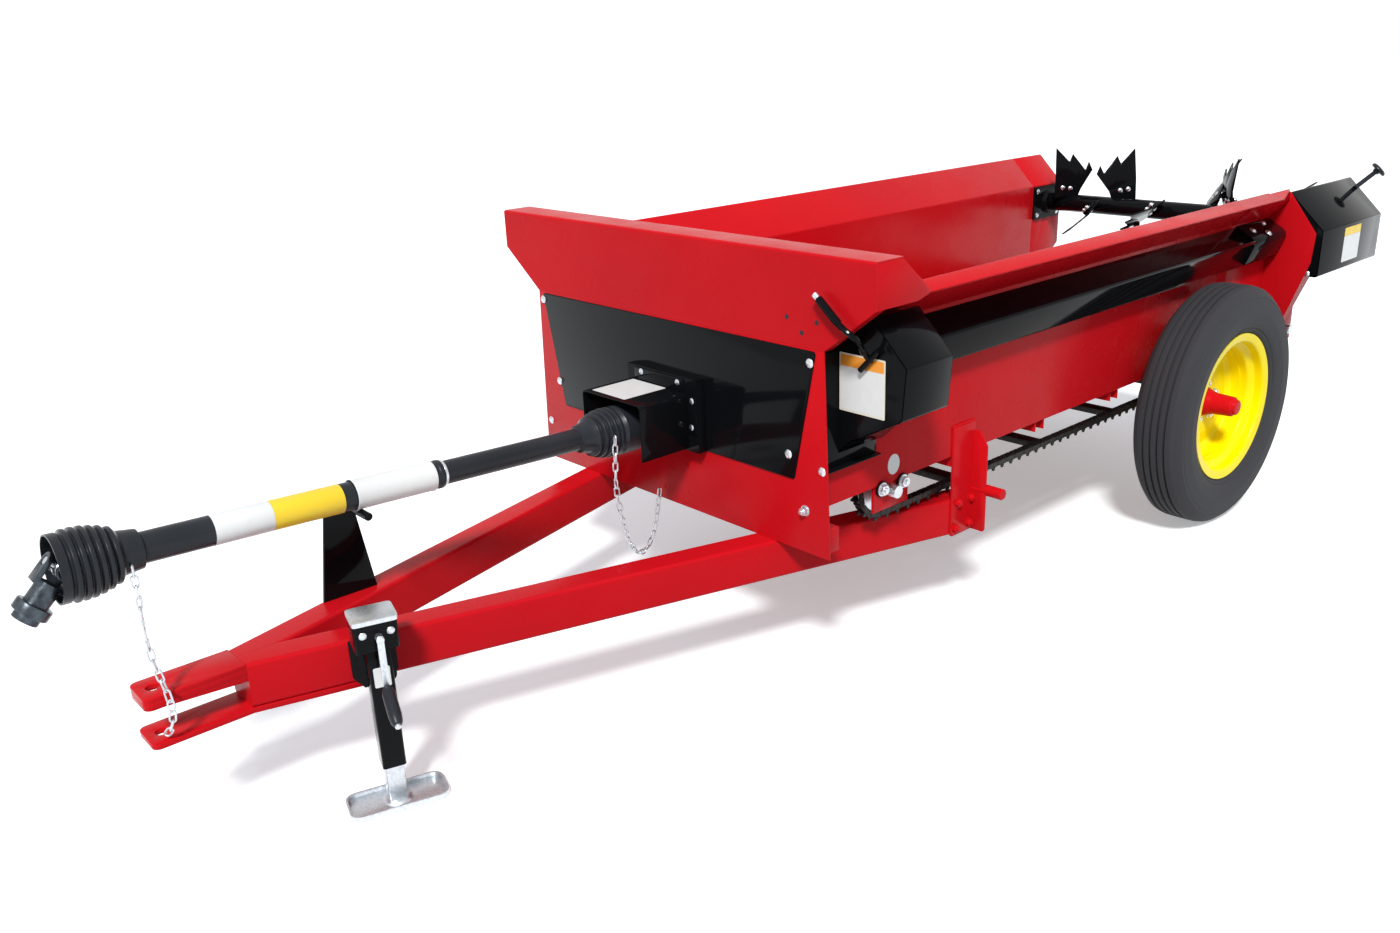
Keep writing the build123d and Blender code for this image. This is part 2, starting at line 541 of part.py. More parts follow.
journal = jack_rod((-H - 8, 0, SWIVEL_Z), (-JACK_OFF + 10, 0, SWIVEL_Z), MOUNT_R - 6)
keep("jack_tube", tube, head, plate, journal)
keep("jack_cap", jack_block(-H - 2, H + 26, -50, 44, JACK_TOP, JACK_TOP + 10))
LEG = H - JACK_WALL - 1.0
keep("jack_leg", jack_block(-LEG, LEG, -LEG, LEG, 6, JACK_TOP - 150),
     jack_block(-49, 49, -106, 106, 0, 6))
CRANK_Z = JACK_TOP - 28
crank = jack_rod((H + 22.6, 0, CRANK_Z), (H + 44, 0, CRANK_Z), 8)
crank = crank + jack_rod((H + 38, 0, CRANK_Z), (H + 44, 0, CRANK_Z - 108), 7)
crank = crank + jack_rod((H + 44, 0, CRANK_Z - 100), (H + 70, 0, CRANK_Z - 165), 14)
keep("jack_crank", crank)

# ---------------------------------------------------------------- output
total = 0
low = [1e9, 1e9, 1e9]
high = [-1e9, -1e9, -1e9]
for name, shape in NODES.items():
    export_step(shape, "parts/" + name + ".step")
    box = shape.bounding_box()
    for i, (a, b) in enumerate(zip(box.min, box.max)):
        low[i] = min(low[i], a)
        high[i] = max(high[i], b)
    total += shape.volume
print("nodes", len(NODES), "volume litres", round(total / 1e6, 1))
print("low", [round(v, 1) for v in low], "high", [round(v, 1) for v in high])
print("HEAD_Y", round(HEAD_Y, 3), "jack", round(jack_x, 2), round(HEAD_Y + JACK_STATION, 2))
print("front joint", [round(v, 2) for v in (0, HEAD_Y + FRONT_JOINT_STATION, FRONT_JOINT_Z)])
print("yoke tip", round(HEAD_Y + yoke_tip[1], 2), round(yoke_tip[2], 2), "rail angle",
      round(math.degrees(RAIL_ANGLE), 4))
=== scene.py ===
import json
import logging
import math
from dataclasses import dataclass
from enum import Enum
from typing import Callable, Iterable, Optional, Sequence

import bmesh
import bpy
from mathutils import Matrix, Vector


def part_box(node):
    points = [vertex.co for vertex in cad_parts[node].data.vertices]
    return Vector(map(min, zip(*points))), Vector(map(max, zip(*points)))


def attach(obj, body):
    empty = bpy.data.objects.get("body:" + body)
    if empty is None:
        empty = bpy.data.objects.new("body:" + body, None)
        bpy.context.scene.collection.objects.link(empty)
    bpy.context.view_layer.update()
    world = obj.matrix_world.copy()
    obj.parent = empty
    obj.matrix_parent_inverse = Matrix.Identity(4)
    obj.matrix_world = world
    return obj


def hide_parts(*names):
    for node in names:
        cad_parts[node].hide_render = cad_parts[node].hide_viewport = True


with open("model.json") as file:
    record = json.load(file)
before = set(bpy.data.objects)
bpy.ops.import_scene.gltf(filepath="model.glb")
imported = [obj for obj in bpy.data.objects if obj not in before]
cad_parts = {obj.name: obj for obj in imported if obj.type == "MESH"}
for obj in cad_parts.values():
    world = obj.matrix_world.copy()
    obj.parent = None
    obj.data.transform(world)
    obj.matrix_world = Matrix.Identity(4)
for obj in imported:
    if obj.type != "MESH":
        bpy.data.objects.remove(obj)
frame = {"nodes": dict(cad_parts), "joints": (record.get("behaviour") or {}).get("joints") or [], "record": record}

log = logging.getLogger("spreader")
MM = 0.001
Point = tuple[float, float, float]
Row = tuple[float, ...]


# ---------------------------------------------------------------- places
class Layout:
    """Turns the machine's own measures into places in the CAD frame."""

    head_y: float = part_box("headboard")[0].y

    @classmethod
    def at(cls, x: float, station: float, height: float) -> Vector:
        """Place of a point on the machine.

        Args:
            x: Millimetres out from the middle plane, the machine's left side positive.
            station: Millimetres behind the headboard's front face.
            height: Millimetres above the floor.

        Returns:
            The point in the CAD frame, in metres.
        """
        return Vector((x * MM, cls.head_y + station * MM, height * MM))

    @staticmethod
    def joint(name: str) -> tuple[Vector, Vector]:
        """Place and direction of a joint's axis.

        Args:
            name: The joint's name in the record.

        Returns:
            A point on the axis and its unit direction.
        """
        row = next(j for j in frame["joints"] if j["name"] == name)
        return Vector(row["pos_m"]), Vector(row["axis"]).normalized()


class Driveline:
    """Places along the resting drive shaft."""

    length: float = 1284.0
    front, axis = Layout.joint("drive_spin")

    @classmethod
    def at(cls, distance: float) -> Vector:
        """Point on the shaft's axis, a distance in millimetres forward of the rear joint."""
        return cls.front - cls.axis * (cls.length - distance) * MM


# ---------------------------------------------------------------- finishes
class Nodes:
    """Short way to lay out a material's nodes."""

    def __init__(self, name: str) -> None:
        """Starts an empty material.

        Args:
            name: The material's name.
        """
        self.material = bpy.data.materials.new(name)
        self.material.use_nodes = True
        self.tree = self.material.node_tree
        self.tree.nodes.clear()
        self.output = self.tree.nodes.new("ShaderNodeOutputMaterial")
        self.shader = self.tree.nodes.new("ShaderNodeBsdfPrincipled")
        self.link(self.shader.outputs["BSDF"], self.output.inputs["Surface"])
        self.place = self.tree.nodes.new("ShaderNodeTexCoord").outputs["Object"]

    def link(self, out: bpy.types.NodeSocket, into: bpy.types.NodeSocket) -> None:
        """Joins two sockets."""
        self.tree.links.new(out, into)

    def set(self, **values: object) -> None:
        """Sets the shader's own sockets.

        Args:
            values: Socket names, with underscores for spaces, and their values.
        """
        for name, value in values.items():
            self.shader.inputs[name.replace("_", " ")].default_value = value

    def noise(self, scale: float, detail: float = 3.0, stretch: Optional[Point] = None,
              rough: float = 0.5) -> bpy.types.NodeSocket:
        """A noise pattern on object coordinates.

        Args:
            scale: Noise cells in a metre.
            detail: Octaves.
            stretch: Scale along X, Y and Z, for a brushed or streaked look.
            rough: How much the fine octaves count.

        Returns:
            The factor socket, from 0 to 1.
        """
        node = self.tree.nodes.new("ShaderNodeTexNoise")
        node.inputs["Scale"].default_value = scale
        node.inputs["Detail"].default_value = detail
        node.inputs["Roughness"].default_value = rough
        source = self.place
        if stretch is not None:
            mapping = self.tree.nodes.new("ShaderNodeMapping")
            mapping.inputs["Scale"].default_value = stretch
            self.link(self.place, mapping.inputs["Vector"])
            source = mapping.outputs["Vector"]
        self.link(source, node.inputs["Vector"])
        return node.outputs["Fac"]

    def spread(self, factor: bpy.types.NodeSocket, low: float, high: float, from_low: float = 0.3,
               from_high: float = 0.7) -> bpy.types.NodeSocket:
        """Maps a pattern onto a range.

        Args:
            factor: The pattern.
            low: Result at from_low and under.
            high: Result at from_high and over.
            from_low: Pattern value for low.
            from_high: Pattern value for high.

        Returns:
            The result socket.
        """
        node = self.tree.nodes.new("ShaderNodeMapRange")
        for name, value in (("From Min", from_low), ("From Max", from_high), ("To Min", low),
                            ("To Max", high)):
            node.inputs[name].default_value = value
        self.link(factor, node.inputs["Value"])
        return node.outputs["Result"]

    def blend(self, factor: bpy.types.NodeSocket, one: Row, two: Row) -> bpy.types.NodeSocket:
        """Mixes two colours by a pattern.

        Args:
            factor: The pattern, from 0 for one to 1 for two.
            one: First colour.
            two: Second colour.

        Returns:
            The colour socket.
        """
        node = self.tree.nodes.new("ShaderNodeMix")
        node.data_type = "RGBA"
        self.link(factor, node.inputs["Factor"])
        node.inputs["A"].default_value = (*one[:3], 1.0)
        node.inputs["B"].default_value = (*two[:3], 1.0)
        return node.outputs["Result"]

    def bump(self, height: bpy.types.NodeSocket, strength: float, depth: float) -> None:
        """Gives the shader a bump.

        Args:
            height: The pattern.
            strength: Share of the bump that shows.
            depth: Its depth in metres.
        """
        node = self.tree.nodes.new("ShaderNodeBump")
        node.inputs["Strength"].default_value = strength
        node.inputs["Distance"].default_value = depth
        self.link(height, node.inputs["Height"])
        self.link(node.outputs["Normal"], self.shader.inputs["Normal"])


@dataclass(frozen=True)
class Enamel:
    """Gloss paint on sheet metal, with a faint orange peel and a little dust."""

    name: str
    colour: Point
    dust: Point
    gloss: float = 0.24
    coat: float = 0.0
    ior: float = 1.15
    slot: Optional[str] = None

    def make(self) -> bpy.types.Material:
        """Builds the material."""
        nodes = Nodes(self.name)
        drift = nodes.spread(nodes.noise(2.2, 4.0), 0.0, 1.0)
        nodes.link(nodes.blend(drift, self.colour, self.dust), nodes.shader.inputs["Base Color"])
        smear = nodes.spread(nodes.noise(9.0, 5.0), self.gloss * 0.8, self.gloss * 1.4)
        nodes.link(smear, nodes.shader.inputs["Roughness"])
        nodes.set(Coat_Weight=self.coat, Coat_Roughness=0.06, IOR=self.ior)
        nodes.bump(nodes.noise(520.0, 2.0), 0.03, 0.0001)
        return nodes.material


@dataclass(frozen=True)
class Metal:
    """Bare or plated metal with fine handling marks."""

    name: str
    colour: Point
    stain: Point
    rough: float = 0.34
    shine: float = 1.0
    grain: float = 160.0
    slot: Optional[str] = None

    def make(self) -> bpy.types.Material:
        """Builds the material."""
        nodes = Nodes(self.name)
        patch = nodes.spread(nodes.noise(self.grain, 6.0), 0.0, 1.0, 0.4, 0.75)
        nodes.link(nodes.blend(patch, self.colour, self.stain), nodes.shader.inputs["Base Color"])
        marks = nodes.spread(nodes.noise(self.grain * 2.5, 4.0), self.rough - 0.08, self.rough + 0.14)
        nodes.link(marks, nodes.shader.inputs["Roughness"])
        nodes.set(Metallic=self.shine)
        nodes.bump(nodes.noise(self.grain * 5.0, 3.0), 0.15, 0.0003)
        return nodes.material


@dataclass(frozen=True)
class Moulded:
    """Moulded plastic or rubber with a fine grain."""

    name: str
    colour: Point
    bloom: Point
    rough: float = 0.5
    grain: float = 900.0
    depth: float = 0.0003
    ior: float = 1.28
    slot: Optional[str] = None

    def make(self) -> bpy.types.Material:
        """Builds the material."""
        nodes = Nodes(self.name)
        haze = nodes.spread(nodes.noise(7.0, 5.0), 0.0, 1.0)
        nodes.link(nodes.blend(haze, self.colour, self.bloom), nodes.shader.inputs["Base Color"])
        scuff = nodes.spread(nodes.noise(26.0, 5.0), self.rough - 0.08, self.rough + 0.12)
        nodes.link(scuff, nodes.shader.inputs["Roughness"])
        nodes.set(IOR=self.ior)
        nodes.bump(nodes.noise(self.grain, 3.0), 0.35, self.depth)
        return nodes.material


@dataclass(frozen=True)
class Film:
    """Printed adhesive film without any print, for blank labels."""

    name: str
    colour: Point
    slot: Optional[str] = None

    def make(self) -> bpy.types.Material:
        """Builds the material."""
        nodes = Nodes(self.name)
        wear = nodes.spread(nodes.noise(60.0, 4.0), 0.0, 1.0, 0.45, 0.9)
        faded = tuple(c * 0.9 + 0.03 for c in self.colour)
        nodes.link(nodes.blend(wear, self.colour, faded), nodes.shader.inputs["Base Color"])
        nodes.link(nodes.spread(nodes.noise(30.0), 0.3, 0.42), nodes.shader.inputs["Roughness"])
        nodes.bump(nodes.noise(240.0, 2.0), 0.05, 0.0003)
        return nodes.material


class Finish(Enum):
    """The finishes on the machine."""

    RED = Enamel("red_enamel", (0.60, 0.006, 0.010), (0.53, 0.006, 0.012), slot="red_paint")
    YELLOW = Enamel("yellow_enamel", (1.0, 0.80, 0.0), (0.95, 0.73, 0.0), 0.3, ior=1.3,
                    slot="yellow_paint")
    BLACK = Enamel("black_enamel", (0.0035, 0.0038, 0.0045), (0.005, 0.0055, 0.0065), 0.075, 0.0,
                   1.16, slot="black_paint")
    ZINC = Metal("zinc_plating", (0.66, 0.69, 0.72), (0.50, 0.54, 0.58), slot="zinc_plate")
    STEEL = Metal("oiled_steel", (0.028, 0.026, 0.025), (0.014, 0.013, 0.012), 0.45, 0.8, 90.0,
                  slot="chain_steel")
    GUNMETAL = Metal("dark_cast_steel", (0.075, 0.09, 0.105), (0.03, 0.036, 0.042), 0.3, 0.9, 70.0)
    PLASTIC = Moulded("guard_plastic", (0.014, 0.016, 0.020), (0.022, 0.026, 0.032), 0.3,
                      slot="black_plastic")
    RUBBER = Moulded("tyre_rubber", (0.014, 0.017, 0.021), (0.024, 0.028, 0.034), 0.42, 700.0,
                     0.0005, slot="tyre_rubber")
    WHITE_FILM = Film("white_film", (0.78, 0.78, 0.76))
    CREAM_FILM = Film("cream_film", (0.80, 0.74, 0.60))
    YELLOW_FILM = Film("yellow_film", (0.88, 0.60, 0.02))
    ORANGE_FILM = Film("orange_film", (0.90, 0.33, 0.03))
    GREY_FILM = Film("grey_film", (0.55, 0.55, 0.54))

    @property
    def material(self) -> bpy.types.Material:
        """The finish's material, built once."""
        made = bpy.data.materials.get(self.value.name)
        return made if made is not None else self.value.make()


# ---------------------------------------------------------------- outlines
Place = Callable[[float, float], Vector]


def rounded(rows: Sequence[Row], steps: int = 5) -> list[tuple[float, float]]:
    """Closed outline with round corners.

    Args:
        rows: Corners as two coordinates and, where the corner is round, its radius.
        steps: Runs in each round corner.

    Returns:
        The outline's points.
    """
    points = []
    for i, row in enumerate(rows):
        here = Vector(row[:2])
        if len(row) < 3 or row[2] <= 0:
            points.append(tuple(here))
            continue
        before = (Vector(rows[i - 1][:2]) - here).normalized()
        after = (Vector(rows[(i + 1) % len(rows)][:2]) - here).normalized()
        half = before.angle(after) / 2
        centre = here + (before + after).normalized() * row[2] / math.sin(half)
        first = here + before * row[2] / math.tan(half) - centre
        last = here + after * row[2] / math.tan(half) - centre
        turn = math.pi - 2 * half
        for k in range(steps + 1):
            share = k / steps
            way = first * math.sin((1 - share) * turn) + last * math.sin(share * turn)
            points.append(tuple(centre + way / math.sin(turn)))
    return points


def ring(a: float, b: float, radius: float, steps: int = 24) -> list[tuple[float, float]]:
    """Points of a circle, for a hole.

    Args:
        a: First coordinate of its centre.
        b: Second coordinate of its centre.
        radius: Its radius.
        steps: Runs round it.

    Returns:
        The circle's points.
    """
    turns = (math.tau * k / steps for k in range(steps))
    return [(a + radius * math.cos(t), b + radius * math.sin(t)) for t in turns]


def bent(points: Sequence[Row], thickness: float, radius: float = 6.0) -> list[Row]:
    """Outline of a bent sheet.

    Args:
        points: The sheet's outer line; its thickness is laid to the left of it.
        thickness: Of the sheet.
        radius: Inner radius of its bends.

    Returns:
        Rows for a closed outline.
    """
    outer, inner = [], []
    last = len(points) - 1
    for i, (x, z) in enumerate(points):
        normals = []
        for a, b in ((i - 1, i), (i, i + 1)):
            if a < 0 or b > last:
                continue
            run = Vector(points[b]) - Vector(points[a])
            normals.append(Vector((-run.y, run.x)).normalized())
        total = sum(normals, Vector((0, 0)))
        offset = total * thickness * len(normals) / total.length_squared
        turn = normals[0].cross(normals[1]) if 0 < i < last else 0.0
        near = (radius if turn > 0 else radius + thickness) if turn else 0.0
        far = (radius + thickness if turn > 0 else radius) if turn else 0.0
        inner.append((x + offset.x, z + offset.y, near))
        outer.append((x, z, far))
    return outer + inner[::-1]


# ---------------------------------------------------------------- mesh work
def turn_to(axis: Vector) -> Matrix:
    """Rotation that takes +Z onto an axis.

    Args:
        axis: The wanted direction.

    Returns:
        A 4 by 4 rotation.
    """
    return Vector((0, 0, 1)).rotation_difference(axis.normalized()).to_matrix().to_4x4()


MIRROR = Matrix.Diagonal((-1.0, 1.0, 1.0, 1.0))
STILL = Matrix.Identity(4)


class Shape:
    """A mesh under construction that becomes one piece on a CAD body. Sizes are in millimetres."""

    def __init__(self, frame_of: Matrix = STILL, at: Callable[..., Vector] = Layout.at) -> None:
        """Starts empty.

        Args:
            frame_of: Moves everything that is added, for a form drawn in its own frame.
            at: Turns three measures into a place in metres.
        """
        self.mesh = bmesh.new()
        self.frame_of = frame_of
        self.at = at

    def add(self, part: bmesh.types.BMesh, place: Matrix = STILL) -> "Shape":
        """Moves a finished part into place and takes it in.

        Args:
            part: The part in metres; it is freed.
            place: Where it goes.

        Returns:
            This shape.
        """
        bmesh.ops.transform(part, matrix=self.frame_of @ place, verts=part.verts)
        bmesh.ops.recalc_face_normals(part, faces=part.faces)
        carrier = bpy.data.meshes.new("carrier")
        part.to_mesh(carrier)
        part.free()
        self.mesh.from_mesh(carrier)
        bpy.data.meshes.remove(carrier)
        return self

    def prism(self, rows: Sequence[Row], place: Place, push: Vector,
              holes: Iterable[Sequence[Row]] = (), edge: float = 0.7, steps: int = 5) -> "Shape":
        """Adds an outline pushed through a thickness.

        Args:
            rows: Corners, with a radius where round.
            place: Turns two coordinates into a place in metres.
            push: Direction and depth of the thickness, in metres.
            holes: Outlines of holes.
            edge: Bevel on the sharp edges.
            steps: Runs in each round corner.

        Returns:
            This shape.
        """
        part = bmesh.new()
        edges = []
        for line in (rounded(rows, steps), *holes):
            verts = [part.verts.new(place(*p)) for p in line]
            edges.extend(part.edges.new(pair) for pair in zip(verts, verts[1:] + verts[:1]))
        if len(edges) > len(verts):
            bmesh.ops.triangle_fill(part, edges=edges, use_beauty=True)
        else:
            part.faces.new(verts)
        made = bmesh.ops.extrude_face_region(part, geom=part.faces[:])
        raised = [g for g in made["geom"] if isinstance(g, bmesh.types.BMVert)]
        bmesh.ops.translate(part, verts=raised, vec=push)
        bmesh.ops.recalc_face_normals(part, faces=part.faces)
        if edge > 0:
            sharp = [e for e in part.edges if e.is_manifold and e.calc_face_angle(0) > 0.6]
            bmesh.ops.bevel(part, geom=sharp, offset=edge * MM, segments=2, profile=0.5,
                            affect="EDGES", material=-1, clamp_overlap=True)
        return self.add(part)

    def along(self, rows: Sequence[Row], first: float, last: float, **more: object) -> "Shape":
        """Adds a section of (x, height) rows between two stations."""
        return self.prism(rows, lambda x, z: self.at(x, first, z),
                          self.at(0, last, 0) - self.at(0, first, 0), **more)

    def across(self, rows: Sequence[Row], first: float, last: float, **more: object) -> "Shape":
        """Adds a section of (station, height) rows between two x."""
        return self.prism(rows, lambda s, z: self.at(first, s, z),
                          self.at(last, 0, 0) - self.at(first, 0, 0), **more)

    def upright(self, rows: Sequence[Row], low: float, high: float, **more: object) -> "Shape":
        """Adds a plan of (x, station) rows between two heights."""
        return self.prism(rows, lambda x, s: self.at(x, s, low),
                          self.at(0, 0, high) - self.at(0, 0, low), **more)

    def cover(self, points: Sequence[Row], first: float, last: float, radius: float = 6.0,
              sheet: float = 3.0) -> "Shape":
        """Adds a sheet bent round a line of (x, height) points with a plate across each end."""
        self.along(bent(points, sheet, radius), first, last)
        ends = [points[0], *((x, z, radius + sheet) for x, z in points[1:-1]), points[-1]]
        self.along(ends, first, first + sheet)
        return self.along(ends, last - sheet, last)

    def turned(self, rows: Sequence[Row], origin: Vector, axis: Vector, steps: int = 32,
               closed: bool = False) -> "Shape":
        """Adds a lathe-turned form.

        Args:
            rows: (radius, distance along the axis), with a corner radius where round.
            origin: Where distance is nought, in metres.
            axis: Direction of the axis.
            steps: Facets round it.
            closed: True where the rows go all round a section.

        Returns:
            This shape.
        """
        part = bmesh.new()
        line = rounded(rows, 4) if closed else [tuple(r[:2]) for r in rows]
        verts = [part.verts.new((r * MM, 0.0, d * MM)) for r, d in line]
        runs = list(zip(verts, verts[1:])) + ([(verts[-1], verts[0])] if closed else [])
        edges = [part.edges.new(pair) for pair in runs]
        bmesh.ops.spin(part, geom=verts + edges, axis=(0, 0, 1), cent=(0, 0, 0), steps=steps,
                       angle=math.tau, use_merge=True)
        bmesh.ops.remove_doubles(part, verts=part.verts, dist=1e-6)
        return self.add(part, Matrix.Translation(origin) @ turn_to(axis))

    def rod(self, start: Row, end: Row, radius: float, edge: float = 1.0,
            steps: int = 24) -> "Shape":
        """Adds a round bar between two places given in millimetres."""
        begin, finish = self.at(*start), self.at(*end)
        long = (finish - begin).length / MM
        rows = ((0, 0), (radius - edge, 0), (radius, edge), (radius, long - edge),
                (radius - edge, long), (0, long))
        return self.turned(rows, begin, finish - begin, steps)

    def tube(self, route: Sequence[Row], radius: float, sides: int = 12,
             order: int = 3) -> "Shape":
        """Adds a round bar along a smooth route of places in millimetres."""
        mesh = swept(tuple(self.at(*p) for p in route), radius, sides, order)
        part = bmesh.new()
        part.from_mesh(mesh)
        bpy.data.meshes.remove(mesh)
        return self.add(part)

    def dome(self, origin: Vector, axis: Vector, radius: float = 11.0, high: float = 5.0,
             washer: float = 0.0) -> "Shape":
        """Adds a carriage bolt's domed head, on a washer if it has one."""
        foot = 1.6 if washer > 0 else 0.0
        rows = [(0, high), (radius * 0.5, high * 0.86), (radius * 0.85, high * 0.5), (radius, 0.8)]
        rows = [(r, d + foot) for r, d in rows] + [(radius, -0.5)]
        self.turned(rows, origin, axis, 20)
        if washer > 0:
            self.turned(((0, foot), (washer - 0.5, foot), (washer, foot - 0.5), (washer, -0.5)),
                        origin, axis, 24)
        return self

    def nut(self, origin: Vector, axis: Vector, flats: float = 17.0, high: float = 8.0,
            stud: float = 3.0) -> "Shape":
        """Adds a hexagon nut on a washer with the end of its bolt."""
        part = bmesh.new()
        bmesh.ops.create_cone(part, cap_ends=True, segments=6, radius1=flats / 1.732 * MM,
                              radius2=flats / 1.732 * MM, depth=high * MM,
                              matrix=Matrix.Translation((0, 0, (high / 2 + 1.6) * MM)))
        bmesh.ops.bevel(part, geom=part.edges[:], offset=0.6 * MM, segments=1, profile=0.5,
                        affect="EDGES", material=-1)
        self.add(part, Matrix.Translation(origin) @ turn_to(axis))
        bolt = flats * 0.28
        top = high + 1.6
        self.turned(((0, top + stud), (bolt - 0.8, top + stud), (bolt, top + stud - 0.8),
                     (bolt, top - 1)), origin, axis, 16)
        wide = flats * 0.72
        return self.turned(((0, 1.6), (wide, 1.6), (wide, -0.5)), origin, axis, 24)

    def piece(self, name: str, body: str, finish: Finish, stands_for: Sequence[str] = (),
              smooth: float = 35.0) -> bpy.types.Object:
        """Turns the shape into a piece of the machine.

        Args:
            name: The piece's name.
            body: The CAD body it rides on.
            finish: Its finish.
            stands_for: CAD nodes that it replaces.
            smooth: Edges that bend by less than this many degrees are shaded round.

        Returns:
            The new object.
        """
        limit = math.radians(smooth)
        for edge in self.mesh.edges:
            edge.smooth = edge.is_manifold and edge.calc_face_angle(math.pi) < limit
        for face in self.mesh.faces:
            face.smooth = True
        mesh = bpy.data.meshes.new(name)
        self.mesh.to_mesh(mesh)
        self.mesh.free()
        mesh.materials.append(finish.material)
        made = bpy.data.objects.new(name, mesh)
        bpy.context.scene.collection.objects.link(made)
        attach(made, body)
        if stands_for:
            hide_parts(*stands_for)
        log.info("%s: %d faces on %s", name, len(mesh.polygons), body)
        return made


def spline(points: Sequence[Vector], order: int = 3) -> bpy.types.Curve:
    """Curve of one smooth spline.

    Args:
        points: Its control points in metres.
        order: Its order.

    Returns:
        The curve data.
    """
    curve = bpy.data.curves.new("route", "CURVE")
    curve.dimensions = "3D"
    curve.resolution_u = 12
    line = curve.splines.new("NURBS")
    line.points.add(len(points) - 1)
    for knot, place in zip(line.points, points):
        knot.co = (*place, 1.0)
    line.order_u = order
    line.use_endpoint_u = True
    return curve


def as_mesh(curve: bpy.types.Curve) -> bpy.types.Mesh:
    """Mesh of a curve, which is removed."""
    holder = bpy.data.objects.new("holder", curve)
    mesh = bpy.data.meshes.new_from_object(holder)
    bpy.data.objects.remove(holder)
    bpy.data.curves.remove(curve)
    return mesh


def swept(points: Sequence[Vector], radius: float, sides: int, order: int) -> bpy.types.Mesh:
    """Closed round bar along a route, radius in millimetres."""
    curve = spline(points, order)
    curve.bevel_depth = radius * MM
    curve.bevel_resolution = max(1, sides // 4)
    curve.use_fill_caps = True
    return as_mesh(curve)


def route_points(points: Sequence[Vector]) -> list[Vector]:
    """Points along the smooth line of a route."""
    mesh = as_mesh(spline(points))
    found = [v.co.copy() for v in mesh.vertices]
    bpy.data.meshes.remove(mesh)
    return found


# ---------------------------------------------------------------- CAD nodes
@dataclass
class PackedNodes:
    """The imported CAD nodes, each dressed in its slot's finish and given soft edges."""

    edge: float = 0.9 * MM
    fine: tuple[str, ...] = ("tyre_left", "tyre_right", "guard_bell_front", "guard_bell_rear",
                             "rim_left", "rim_right", "hub_left", "hub_right", "jack_crank")

    def build(self) -> None:
        """Dresses every node."""
        by_slot = {f.value.slot: f for f in Finish if f.value.slot is not None}
        slots = {row["node"]: row["material_slot"] for row in frame["record"]["subparts"]}
        for name, node in frame["nodes"].items():
            finish = by_slot[slots[name]]
            node.data.materials.clear()
            node.data.materials.append(finish.material)
            self.soften(node, name in self.fine)
            log.info("node %s: %s", name, finish.name)

    def soften(self, node: bpy.types.Object, turned: bool) -> None:
        """Joins a node's loose triangles and rounds its sharp edges for shading.

        Args:
            node: The CAD node.
            turned: True for a turned form, whose edges only need smooth shading.
        """
        for face in node.data.polygons:
            face.use_smooth = True
        weld = node.modifiers.new("weld", "WELD")
        weld.merge_threshold = 1e-5
        if not turned:
            flat = node.modifiers.new("flatten", "DECIMATE")
            flat.decimate_type = "DISSOLVE"
            flat.angle_limit = math.radians(0.4)
            bevel = node.modifiers.new("edges", "BEVEL")
            bevel.width = self.edge
            bevel.segments = 2
            bevel.limit_method = "ANGLE"
            bevel.angle_limit = math.radians(32)
            bevel.harden_normals = True
            bevel.use_clamp_overlap = True
        split = node.modifiers.new("sharp", "EDGE_SPLIT")
        split.split_angle = math.radians(34)


# ---------------------------------------------------------------- body sheets
OUT = Vector((1, 0, 0))
AHEAD = Vector((0, -1, 0))
UP = Vector((0, 0, 1))


